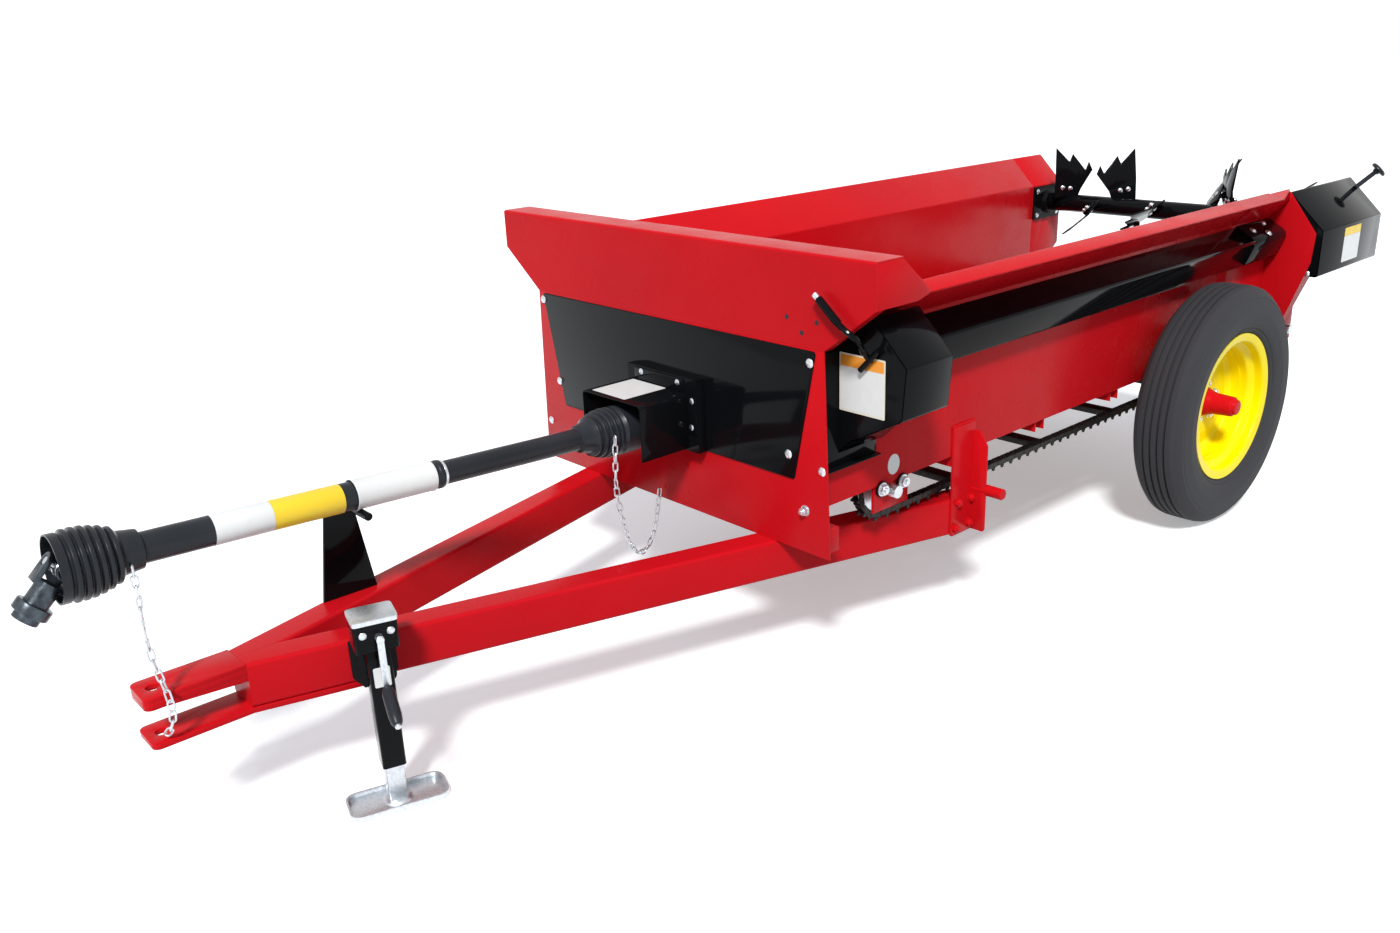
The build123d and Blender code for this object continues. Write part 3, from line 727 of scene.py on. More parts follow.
@dataclass
class BodySheets:
    """Headboard, side walls, front shield and wing plate."""

    wall: float = 531.0
    sheet: float = 4.0
    length: float = 2625.0
    head_half: float = 690.0
    head_top: float = 1075.0
    head_side: float = 971.0
    neck_half: float = 544.0
    neck: float = 862.0
    lip: float = 88.0
    wing: float = 2204.0
    bend: float = 891.0

    def build(self) -> None:
        """Builds every sheet piece."""
        self.headboard()
        self.walls()
        self.wing_plate()
        self.end_caps()
        self.shield()

    def headboard(self) -> None:
        """Folded board across the front, with returned ends."""
        shape = Shape()
        half, top, side = self.head_half, self.head_top, self.head_side
        shape.along([(-half, top - 12), (-half, side), (-self.neck_half, self.neck),
                     (self.neck_half, self.neck), (half, side), (half, top - 12)], 0, self.sheet,
                    edge=0)
        shape.across(bent([(self.lip, top), (0, top), (0, top - 12)], self.sheet, 3), -half, half,
                     edge=0)
        ear = [(self.sheet, top - 4), (self.lip, top - 4), (190, 984, 8), (140, side),
               (self.sheet, side)]
        for hand in (1, -1):
            shape.across(ear, hand * (half - self.sheet), hand * half)
            slant = [(hand * self.neck_half, self.neck), (hand * half, side)]
            rise = Vector(slant[1]) - Vector(slant[0])
            inward = Vector((-rise.y, rise.x)).normalized() * hand * self.sheet
            flange = slant + [(x + inward.x, z + inward.y) for x, z in reversed(slant)]
            shape.along(flange, self.sheet, 30)
        shape.piece("headboard_sheet", "frame", Finish.RED, ["headboard"])
        plate = Shape()
        plate.along([(-self.neck_half, self.neck), (-561, 365), (561, 365),
                     (self.neck_half, self.neck)], 0, self.sheet)
        plate.piece("front_sheet", "frame", Finish.RED, ["front_plate"])

    def walls(self) -> None:
        """Side walls with their flares, the left flare narrowing towards the wing plate."""
        line = [(self.wall, 485), (self.wall, self.bend), (633, 994), (684.8, 980)]
        right = Shape(MIRROR)
        right.along(bent(line, self.sheet), self.sheet, 2425)
        self.rear_panel(right, line)
        right.piece("side_wall_sheet_right", "frame", Finish.RED, ["side_wall_right"])
        left = Shape()
        left.along(bent(line, self.sheet), self.sheet, 1930)
        self.narrowing(left)
        self.rear_panel(left, [(self.wall, 485), (self.wall, self.bend + 4)], self.wing)
        left.piece("side_wall_sheet_left", "frame", Finish.RED, ["side_wall_left"])

    def rear_panel(self, shape: Shape, line: Sequence[Row], first: float = 2425) -> None:
        """Rear end of a wall, its lower corner cut off.

        Args:
            shape: The wall.
            line: The wall's section.
            first: Station where this length starts.
        """
        inner = self.wall - self.sheet
        hole = ring(2530, 823, 24)
        shape.across([(first, 485), (2425, 485), (self.length, 643), (self.length, self.bend),
                      (first, self.bend)] if first < 2425 else
                     [(2425, 485), (self.length, 643), (self.length, self.bend),
                      (2425, self.bend)], inner, self.wall, holes=[hole])
        if len(line) > 2:
            top = [(self.wall, self.bend - 6), *line[1:]]
            shape.along(bent(top, self.sheet), 2425, self.length)

    def narrowing(self, shape: Shape) -> None:
        """The flare's rear length, cut back along a slanting line.

        Args:
            shape: The left wall.
        """
        shape.across([(1930, 485), (self.wing, 485), (self.wing, self.bend), (1930, self.bend)],
                     self.wall - self.sheet, self.wall)
        part = bmesh.new()
        rows = ((1930, ((self.wall, self.bend), (633, 994), (684.8, 980))),
                (2085, ((self.wall, self.bend), (632.4, 993.4), (633, 994))),
                (self.wing, ((self.wall, self.bend), (585.6, 946), (586, 946.5))))
        lines = []
        for station, section in rows:
            verts = [part.verts.new(Layout.at(x, station, z)) for x, z in section]
            lines.append([part.edges.new(pair) for pair in zip(verts, verts[1:])])
        for one, two in zip(lines, lines[1:]):
            bmesh.ops.bridge_loops(part, edges=one + two)
        bmesh.ops.solidify(part, geom=part.faces[:], thickness=self.sheet * MM)
        shape.add(part)

    def wing_plate(self) -> None:
        """Plate that closes the left flare in front of the rear cover."""
        shape = Shape()
        shape.along([(self.wall, 500), (self.wall, 895), (584, 974, 6), (686, 840, 6), (680, 745),
                     (666, 702), (617, 557, 12)], self.wing, self.wing + self.sheet)
        shape.piece("wing_sheet", "frame", Finish.RED, ["wing_plate"])

    def end_caps(self) -> None:
        """Plates that close the front crossmember's ends."""
        shape = Shape()
        for hand in (1, -1):
            shape.across([(4, 365), (64, 365), (64, 425), (4, 425)], hand * (self.wall - 1),
                         hand * (self.wall + 2))
        shape.piece("crossmember_end_caps", "frame", Finish.RED)

    def shield(self) -> None:
        """Glossy black plate across the upper front."""
        shape = Shape()
        shape.along([(-522, 858, 8), (-452, 541, 8), (452, 541, 8), (522, 858, 8)], -3, 0, edge=0.5)
        shape.piece("front_shield_sheet", "frame", Finish.BLACK, ["front_shield", "cross_shaft_cover"])


# ---------------------------------------------------------------- guards and covers
@dataclass
class Covers:
    """Black sheet covers along the left wall and over the drive's rear end."""

    wall: float = 531.0
    wing: float = 2204.0
    rear: float = 2686.0
    housing_front: float = 61.0
    housing_rear: float = 223.0
    gear_front: float = -30.0
    hood_front: float = -184.0
    hood_half: float = 115.0
    hood_top: float = 692.0

    def build(self) -> None:
        """Builds every cover."""
        self.rear_cover()
        self.knob()
        self.front_housing()
        self.side_cover()
        self.hood()

    def rear_cover(self) -> None:
        """Deep cover over the beater's chain."""
        shape = Shape()
        shape.cover([(self.wall, 698), (706, 698), (706, 850), (584, 972), (self.wall, 893)],
                    self.wing + 4, self.rear)
        shape.piece("rear_cover_sheet", "frame", Finish.BLACK, ["rear_chain_cover"])

    def knob(self) -> None:
        """Round knob on a stud that holds the rear cover shut."""
        shape = Shape()
        low, high = (617, 2668, 936), (668, 2698, 992)
        neck = Layout.at(*high)
        axis = neck - Layout.at(*low)
        shape.rod(low, high, 8)
        shape.turned(((0, 14), (18, 13.5), (25, 11), (28, 7), (28.6, 3), (26, 0), (12, -2), (11, -9),
                      (0, -9)), neck, axis, 40)
        shape.piece("cover_knob_turned", "frame", Finish.PLASTIC, ["cover_knob"])

    def front_housing(self) -> None:
        """Many-sided housing over the front chain, on a backing sheet."""
        shape = Shape()
        shape.cover([(self.wall, 607), (568, 642), (716, 721), (726, 841), (627, 939), (574, 929),
                     (self.wall, 880)], self.housing_front, self.housing_rear)
        shape.along([(self.wall, 577), (self.wall + 2, 577), (self.wall + 2, 880),
                     (self.wall, 880)], 4, 195)
        shape.upright([(self.wall, 4), (self.wall + 20, 4), (self.wall + 20, 195, 6),
                       (self.wall, 195)], 575, 578)
        shape.piece("front_housing_sheet", "frame", Finish.BLACK, ["front_chain_housing"])

    def side_cover(self) -> None:
        """Long cover over the side shaft, with a rounded cap on its rear length."""
        shape = Shape()
        shape.cover([(self.wall, 757), (568, 757), (600, 838), (self.wall, 880)],
                    self.housing_rear, 1974)
        shape.cover([(self.wall, 754), (570, 754), (604, 840), (self.wall, 883)], 1962, 2190,
                    radius=24)
        shape.piece("side_cover_sheet", "frame", Finish.BLACK, ["side_shaft_cover"])

    def hood(self) -> None:
        """Cover of the gearbox and the hood that stands out over the rear joint."""
        gear = Shape()
        gear.across([(-3, 727), (self.gear_front, 727), (self.gear_front, 730), (-3, 730)], -118, 150,
                    edge=0)
        gear.along([(-118, 540), (150, 540), (150, 727), (-118, 727)], self.gear_front,
                   self.gear_front + 3, holes=[ring(0, 606, 34)], edge=0)
        side = [(-3, 727), (self.gear_front + 3, 727), (self.gear_front + 3, 540), (-3, 540)]
        gear.across(side, 147, 150)
        gear.across(side, -118, -115)
        gear.piece("gear_cover_sheet", "frame", Finish.BLACK, ["gearbox_cover"])
        hood = Shape()
        half, top = self.hood_half, self.hood_top
        hood.along(bent([(half, 548), (half, top), (-half, top), (-half, 548)], 3, 9),
                   self.hood_front, self.gear_front)
        back, front = self.gear_front, self.gear_front - 3
        hood.along([(half - 3, 588), (half + 34, 588, 6), (half + 34, 686, 6), (half - 3, 686)],
                   front, back)
        hood.along([(-88, top - 3), (104, top - 3), (104, top + 34, 6), (-88, top + 34, 6)],
                   front, back)
        hood.piece("shaft_hood_sheet", "frame", Finish.BLACK, ["pto_shield"])


@dataclass
class FeedLever:
    """Cranked rod with a grip, pivoted in front of the front housing."""

    rod_radius: float = 7.0
    grip_radius: float = 9.0

    def build(self) -> None:
        """Builds the lever and a bright zinc tip at the grip's end, a painted highlight for the glint on the
        lever's rounded end.
        """
        shape = Shape()
        shape.tube(((627, 61, 844), (631, 35, 862), (642, 5, 896), (638, -12, 914), (622, -19, 924),
                    (602, -20, 939)), self.rod_radius)
        shape.rod((604, -20, 937.5), (546, -20, 984.5), self.grip_radius, 2.0)
        shape.rod((605, 50, 820), (655, 50, 872), 6.5)
        shape.piece("feed_lever_rod", "frame", Finish.BLACK, ["feed_lever"])
        # Bright zinc tip at the grip's end: painted highlight standing for the glint on the lever's rounded end.
        tip = Shape()
        tip.rod((547, -20, 983.7), (535, -20, 993.4), 7.5, 2.0)
        tip.piece("feed_lever_glint_tip", "frame", Finish.ZINC)


# ---------------------------------------------------------------- floor and apron
@dataclass
class Apron:
    """The two chains and the angle slats that move the load along the floor."""

    shaft_height: float = 462.5
    idler: float = 255.0
    drive: float = 2430.0
    pitch_radius: float = 72.0
    chain_x: float = 488.0
    link_pitch: float = 41.0
    slat_start: float = 571.0
    slat_pitch: float = 392.0

    def build(self) -> None:
        """Builds both chains and the slats."""
        for name, hand in (("left", 1), ("right", -1)):
            shape = Shape()
            for place, along, outward in self.stations():
                self.link(shape, Vector((hand * self.chain_x * MM, *place.yz)), along, outward)
            shape.piece(f"apron_links_{name}", "frame", Finish.STEEL, [f"apron_chain_{name}"])
        self.slats()

    def stations(self) -> Iterable[tuple[Vector, Vector, Vector]]:
        """Middles of the links round the loop, with the run's direction and its outward side."""
        straight = self.drive - self.idler
        turn = math.pi * self.pitch_radius
        count = round((2 * straight + 2 * turn) / self.link_pitch)
        step = (2 * straight + 2 * turn) / count
        for i in range(count):
            gone = i * step
            if gone < straight:
                row = (self.idler + gone, self.pitch_radius, 0.0)
            elif gone < straight + turn:
                angle = (gone - straight) / self.pitch_radius
                row = (self.drive + self.pitch_radius * math.sin(angle),
                       self.pitch_radius * math.cos(angle), angle)
            elif gone < 2 * straight + turn:
                row = (self.drive - (gone - straight - turn), -self.pitch_radius, math.pi)
            else:
                angle = math.pi + (gone - 2 * straight - turn) / self.pitch_radius
                row = (self.idler + self.pitch_radius * math.sin(angle),
                       self.pitch_radius * math.cos(angle), angle)
            yield (Layout.at(0, row[0], self.shaft_height + row[1]),
                   Vector((0, math.cos(row[2]), -math.sin(row[2]))),
                   Vector((0, math.sin(row[2]), math.cos(row[2]))))

    def link(self, shape: Shape, place: Vector, along: Vector, outward: Vector) -> None:
        """Adds one hooked link: two side bars, a barrel and a lug tooth.

        Args:
            shape: The chain.
            place: The link's middle.
            along: Direction of the run.
            outward: Direction away from the loop's inside.
        """
        turn = Matrix((OUT, along, outward)).transposed().to_4x4()
        one = Shape(Matrix.Translation(place) @ turn, lambda x, s, z: Vector((x, s, z)) * MM)
        for hand in (1, -1):
            one.across([(-20, -7, 5), (19, -7, 5), (19, 7, 5), (-20, 7, 5)], hand * 7, hand * 12,
                       edge=0, steps=2)
            one.across([(-13, 6), (-7, 17, 2), (-2, 17, 2), (1, 6)], hand * 7, hand * 12, edge=0,
                       steps=2)
        for middle, radius in ((15, 6.5), (-17, 8)):
            one.turned(((0, -11.8), (radius, -11.8), (radius, 11.8), (0, 11.8)),
                       Vector((0, middle * MM, 0)), OUT, 8)
        shape.add(one.mesh)

    def slats(self) -> None:
        """Angle bars between the chains, on the top run and under the bottom run."""
        shape = Shape()
        end = self.chain_x - 10
        station = self.slat_start
        while station < self.drive - 20:
            for run in (1, -1):
                flat = self.shaft_height + run * (self.pitch_radius - 9)
                shape.across([(station - 20, flat), (station - 20, flat + run * 18),
                              (station - 15, flat + run * 18), (station - 15, flat + run * 5),
                              (station + 20, flat + run * 5), (station + 20, flat)], -end, end)
            station += self.slat_pitch
        shape.piece("apron_angle_slats", "frame", Finish.STEEL, ["apron_slats"])


# ---------------------------------------------------------------- wheels
@dataclass
class Wheel:
    """One wheel: ribbed tyre, one-piece rim with a dished disc, and hub."""

    side: str
    hand: int
    centre_x: float = 645.0
    height: float = 375.0
    tyre_radius: float = 375.0
    half: float = 82.5
    grooves: tuple[float, ...] = (33.0, 11.0)

    def build(self) -> None:
        """Builds the wheel."""
        pivot, _ = Layout.joint(f"{self.side}_wheel_spin")
        centre = Vector((self.hand * self.centre_x * MM, pivot.y, pivot.z))
        axis = OUT * self.hand
        body = f"wheel_{self.side}"
        self.tyre(centre, axis, body)
        rim = Shape()
        half = [(184, 18), (206, 30), (207, 55), (231, 58)]
        path = [(r, -d) for r, d in reversed(half)] + half
        rim.turned(bent(path, 5, 3), centre, axis, 72, closed=True)
        disc = [(45, -39), (105, -39), (148, -47), (178, -36), (179.5, -3)]
        rim.turned(bent(disc, 8, 5), centre, axis, 72, closed=True)
        rim.piece(f"rim_pressed_{self.side}", body, Finish.YELLOW, [f"rim_{self.side}"])
        hub = Shape()
        hub.turned([(0, -71), (38, -73, 3), (42, -58), (75, -51, 3), (75, -39), (45, -39), (45, -27),
                    (34, 2, 30), (31, 62, 3), (25, 69, 2), (23, 77, 5), (0, 77)], centre, axis, 40,
                   closed=True)
        hub.piece(f"hub_cast_{self.side}", body, Finish.RED, [f"hub_{self.side}"])
        self.hardware(centre, axis, body)

    def tyre(self, centre: Vector, axis: Vector, body: str) -> None:
        """Ribbed implement tyre.

        Args:
            centre: The wheel's centre.
            axis: Outward direction.
            body: The CAD body.
        """
        tread = []
        for middle in self.grooves:
            tread += [(self.tyre_radius, middle + 4, 1.2), (self.tyre_radius - 9, middle + 2.5, 1),
                      (self.tyre_radius - 9, middle - 2.5, 1), (self.tyre_radius, middle - 4, 1.2)]
        outside = [(206.5, 40), (207, 54), (233, 57.7, 3), (237, 64, 4), (243, 69, 3), (247, 68, 2),
                   (251, 73, 3), (262, 77, 20), (296, self.half, 40), (332, 79.5, 30), (341, 77, 3),
                   (345, 78, 3), (358, 68, 9), (371.5, 53, 5)] + tread
        inside = [(228, 41, 5), (260, 61, 20), (296, 69, 40), (332, 64, 24), (354, 44, 14)]
        line = outside + [(r[0], -r[1], *r[2:]) for r in reversed(outside)]
        line += [(r[0], -r[1], *r[2:]) for r in inside] + inside[::-1]
        shape = Shape()
        shape.turned(line, centre, axis, 96, closed=True)
        shape.piece(f"tyre_ribbed_{self.side}", body, Finish.RUBBER, [f"tyre_{self.side}"])

    def hardware(self, centre: Vector, axis: Vector, body: str) -> None:
        """Valve, wheel nuts and the ring of studs on the disc.

        Args:
            centre: The wheel's centre.
            axis: Outward direction.
            body: The CAD body.
        """
        face = centre - axis * 31 * MM
        nuts = Shape()
        for i in range(5):
            turn = math.tau * i / 5 + math.radians(90)
            place = face + Vector((0, math.cos(turn), math.sin(turn))) * 60 * MM
            nuts.nut(place, axis, 19, 10, 4)
        nuts.piece(f"wheel_nuts_{self.side}", body, Finish.ZINC)
        valve = Shape()
        turn = math.radians(235)
        way = Vector((0, math.cos(turn), math.sin(turn)))
        foot = centre + way * 176 * MM - axis * 30 * MM
        valve.turned(((0, 0), (8, 0), (7, 4), (4, 8), (3.5, 26), (4.6, 27), (4.6, 38), (0, 39)),
                     foot, axis * 0.75 - way * 0.66, 16)
        valve.piece(f"valve_{self.side}", body, Finish.PLASTIC)


# ---------------------------------------------------------------- beater
@dataclass
class Beater:
    """Folded, toothed blades bolted to lugs in a double-auger pattern."""

    tube_radius: float = 35.0
    fold: float = 14.0
    thick: float = 6.0
    tip: float = 227.0
    fold_start: tuple[float, float] = (-27.0, 58.0)
    fold_end: tuple[float, float] = (73.0, 112.0)
    # x of the middle, angle about the axis (0 rearwards, 90 up), lean, hand of the teeth
    blades: tuple[Row, ...] = ((-400, 97, 45, -1), (-312, 214, 45, 1), (-222, 86, 45, 1),
                               (-135, 270, 45, 1), (-45, 193, 45, 1), (45, 300, -45, 1),
                               (150, 52, -45, 1), (227, 102, -45, 1), (312, 262, -45, 1),
                               (400, 24, -45, 1))

    def build(self) -> None:
        """Builds blades, lugs and their bolts."""
        axis_place, _ = Layout.joint("beater_spin")
        blades, lugs, bolts = Shape(), Shape(), Shape()
        for x, angle, lean, hand in self.blades:
            place = Matrix.Translation((x * MM, axis_place.y, axis_place.z))
            place = place @ Matrix.Rotation(math.radians(angle - 90), 4, "X")
            place = place @ Matrix.Rotation(math.radians(lean), 4, "Z")
            place = place @ Matrix.Diagonal((hand, 1, 1, 1))
            self.blade(blades, place)
            self.lug(lugs, bolts, place)
        blades.piece("beater_blades", "beater", Finish.BLACK, ["beater_paddles"])
        lugs.piece("beater_lugs", "beater", Finish.BLACK)
        bolts.piece("beater_blade_bolts", "beater", Finish.ZINC)
        self.bearings(axis_place)

    def bearings(self, centre: Vector) -> None:
        """Bearing plates on the walls' inner faces, with the bearing's round housing.

        Args:
            centre: A point on the beater's axis.
        """
        shape = Shape()
        middle, height = centre.y / MM - Layout.head_y / MM, centre.z / MM
        plate = [(2427, 757, 8), (2613, 757, 8), (2613, 887, 8), (2427, 887, 8)]
        for hand in (1, -1):
            shape.across(plate, hand * 519, hand * 527, holes=[ring(middle, height, 23)])
            shape.turned([(23, 0), (23, 16), (44, 16, 3), (50, 0)],
                         Vector((hand * 519 * MM, centre.y, centre.z)), -OUT * hand, 40,
                         closed=True)
        shape.piece("beater_bearing_plates", "frame", Finish.BLACK, ["beater_bearings"])

    def blade(self, shape: Shape, place: Matrix) -> None:
        """Adds one blade, folded along a slanting line.

        Args:
            shape: All the blades.
            place: Where it stands.
        """
        local = Shape(place, lambda w, d, h: Vector((w, d, h)) * MM)
        push = local.at(0, self.thick, 0)
        foot = (self.fold_start, (-14, 30, 4), (80, 30, 4), self.fold_end)
        teeth = (self.fold_end, (62, self.tip), (12, 166, 3), (-3, 196), (-50, 126, 3), (-66, 158),
                 (-78, 124), self.fold_start)
        origin = Vector((self.fold_start[0], 0, self.fold_start[1])) * MM
        line = Vector((self.fold_end[0], 0, self.fold_end[1])) * MM - origin
        turn = Matrix.Rotation(-math.radians(self.fold), 4, line.normalized())
        lay = Matrix.Translation(origin) @ turn @ Matrix.Translation(-origin)
        local.prism(foot, lambda w, h: local.at(w, -self.thick / 2, h), push)
        bead = line.length / MM
        local.turned(((0, 0), (2.9, 0), (2.9, bead), (0, bead)), origin, line, 12)
        upper = Shape(place @ lay, local.at)
        upper.prism(teeth, lambda w, h: local.at(w, -self.thick / 2, h), push)
        shape.add(local.mesh)
        shape.add(upper.mesh)

    def lug(self, lugs: Shape, bolts: Shape, place: Matrix) -> None:
        """Adds the lug behind a blade and the two bolts through both.

        Args:
            lugs: All the lugs.
            bolts: All the bolts.
            place: Where the blade stands.
        """
        local = Shape(place, lambda w, d, h: Vector((w, d, h)) * MM)
        local.prism([(9, 22), (53, 22), (53, 76, 6), (9, 76, 6)], lambda w, h: local.at(w, 3, h),
                    local.at(0, 12, 0))
        lugs.add(local.mesh)
        heads = Shape(place, local.at)
        for w, h in ((16, 62), (46, 68)):
            heads.dome(local.at(w, -3, h), Vector((0, -1, 0)), 9, 4)
            heads.nut(local.at(w, 15, h), Vector((0, 1, 0)), 16, 7, 3)
        bolts.add(heads.mesh)


# ---------------------------------------------------------------- tongue
@dataclass
class Tongue:
    """Box-section rails, hitch plates and the posts that hold the rails' rear ends."""

    rail_top: float = 365.0
    rail_high: float = 100.0
    rail_wide: float = 75.0
    apex: float = -1178.0
    apex_half: float = 47.0
    slope: float = 0.29
    rail_end: float = 560.0
    hitch: float = -1378.0
    pin: float = -1346.0
    wall: float = 531.0

    @property
    def angle(self) -> float:
        """Angle of a rail from the machine's length."""
        return math.atan(self.slope)

    def rail_x(self, station: float, inset: float = 0.0) -> float:
        """x of the left rail's outer face, moved inwards by an inset square to it."""
        across = inset / math.cos(self.angle)
        return self.apex_half + self.slope * (station - self.apex) - across

    def build(self) -> None:
        """Builds the tongue."""
        for side, mirror in (("left", STILL), ("right", MIRROR)):
            self.rail(side, mirror)
            self.post(side, mirror)
        self.plates()

    def rail(self, side: str, mirror: Matrix) -> None:
        """One rail, its long edges rounded.

        Args:
            side: left or right.
            mirror: Takes the left piece to its side.
        """
        run = self.rail_wide / math.cos(self.angle)
        clip = self.apex + (self.wall - self.apex_half) / self.slope
        meet = self.apex + (run - self.apex_half) / self.slope
        plan = [(0.4, self.apex), (self.rail_x(self.apex), self.apex), (self.wall, clip),
                (self.wall, self.rail_end), (self.rail_x(self.rail_end, self.rail_wide),
                                             self.rail_end), (0.4, meet)]
        shape = Shape(mirror)
        low = self.rail_top - self.rail_high
        part = bmesh.new()
        part.faces.new([part.verts.new(Layout.at(x, s, low)) for x, s in plan])
        made = bmesh.ops.extrude_face_region(part, geom=part.faces[:])
        raised = [g for g in made["geom"] if isinstance(g, bmesh.types.BMVert)]
        bmesh.ops.translate(part, verts=raised, vec=UP * self.rail_high * MM)
        way = Vector((self.slope, 1, 0)).normalized()
        long = [e for e in part.edges
                if abs((e.verts[1].co - e.verts[0].co).normalized().dot(way)) > 0.999]
        bmesh.ops.bevel(part, geom=long, offset=9 * MM, segments=5, profile=0.5,
                        affect="EDGES", material=-1)
        shape.add(part)
        shape.piece(f"tongue_box_{side}", "frame", Finish.RED, [f"tongue_rail_{side}"])

    def plates(self) -> None:
        """Upper and lower hitch plates with the pin hole through both."""
        hole = ring(0, self.pin, 13.5)
        half, front = self.apex_half, self.hitch
        upper = Shape()
        plan = [(-half, front, 16), (half, front, 16), (half, self.apex), (-half, self.apex)]
        upper.upright(plan, self.rail_top - 10, self.rail_top, holes=[hole])
        inner = half - 8
        skirt = [(-half, self.apex), (-half, front, 16), (half, front, 16), (half, self.apex),
                 (inner, self.apex), (inner, front + 8, 8), (-inner, front + 8, 8),
                 (-inner, self.apex)]
        upper.upright(skirt, self.rail_top - 26, self.rail_top - 9)
        for hand in (1, -1):
            upper.across([(front + 24, self.rail_top - 25), (self.apex, self.rail_top - 25),
                          (self.apex, self.rail_top - 38)], hand * inner, hand * half)
        upper.piece("hitch_plate_upper", "frame", Finish.RED, ["hitch_upper"])
        lower = Shape()
        low = self.rail_top - self.rail_high
        wide = self.rail_x(-960)
        plan = [(half, front, 16), (half, self.apex), (wide, -960), (-wide, -960),
                (-half, self.apex), (-half, front, 16)]
        lower.upright(plan, low - 12, low, holes=[hole])
        lower.piece("hitch_plate_lower", "frame", Finish.RED, ["hitch_lower"])

    def post(self, side: str, mirror: Matrix) -> None:
        """Post on the wall with its flange and peg.

        Args:
            side: left or right.
            mirror: Takes the left piece to its side.
        """
        shape = Shape(mirror)
        wall = self.wall
        shape.across([(495, 262, 8), (586, 262, 8), (586, 562), (495, 562, 4)], wall, wall + 6)
        shape.along([(wall, 262), (wall + 48, 262, 8), (wall + 48, 501), (wall + 24, 538, 8),
                     (wall, 538)], 580, 586)
        shape.rod((wall, 594, 376), (wall + 94, 594, 376), 15, 2)
        for station, height in ((576, 352), (520, 352), (571, 282), (513, 282)):
            shape.nut(Layout.at(wall + 6, station, height), OUT, 19, 8, 3)
        shape.tube([(wall + 1, 493, 563), (wall + 2, 530, 564.5), (wall + 2, 560, 564),
                    (wall + 1, 588, 563)], 3.2, 8)
        shape.piece(f"rail_post_folded_{side}", "frame", Finish.RED, [f"rail_post_{side}"])


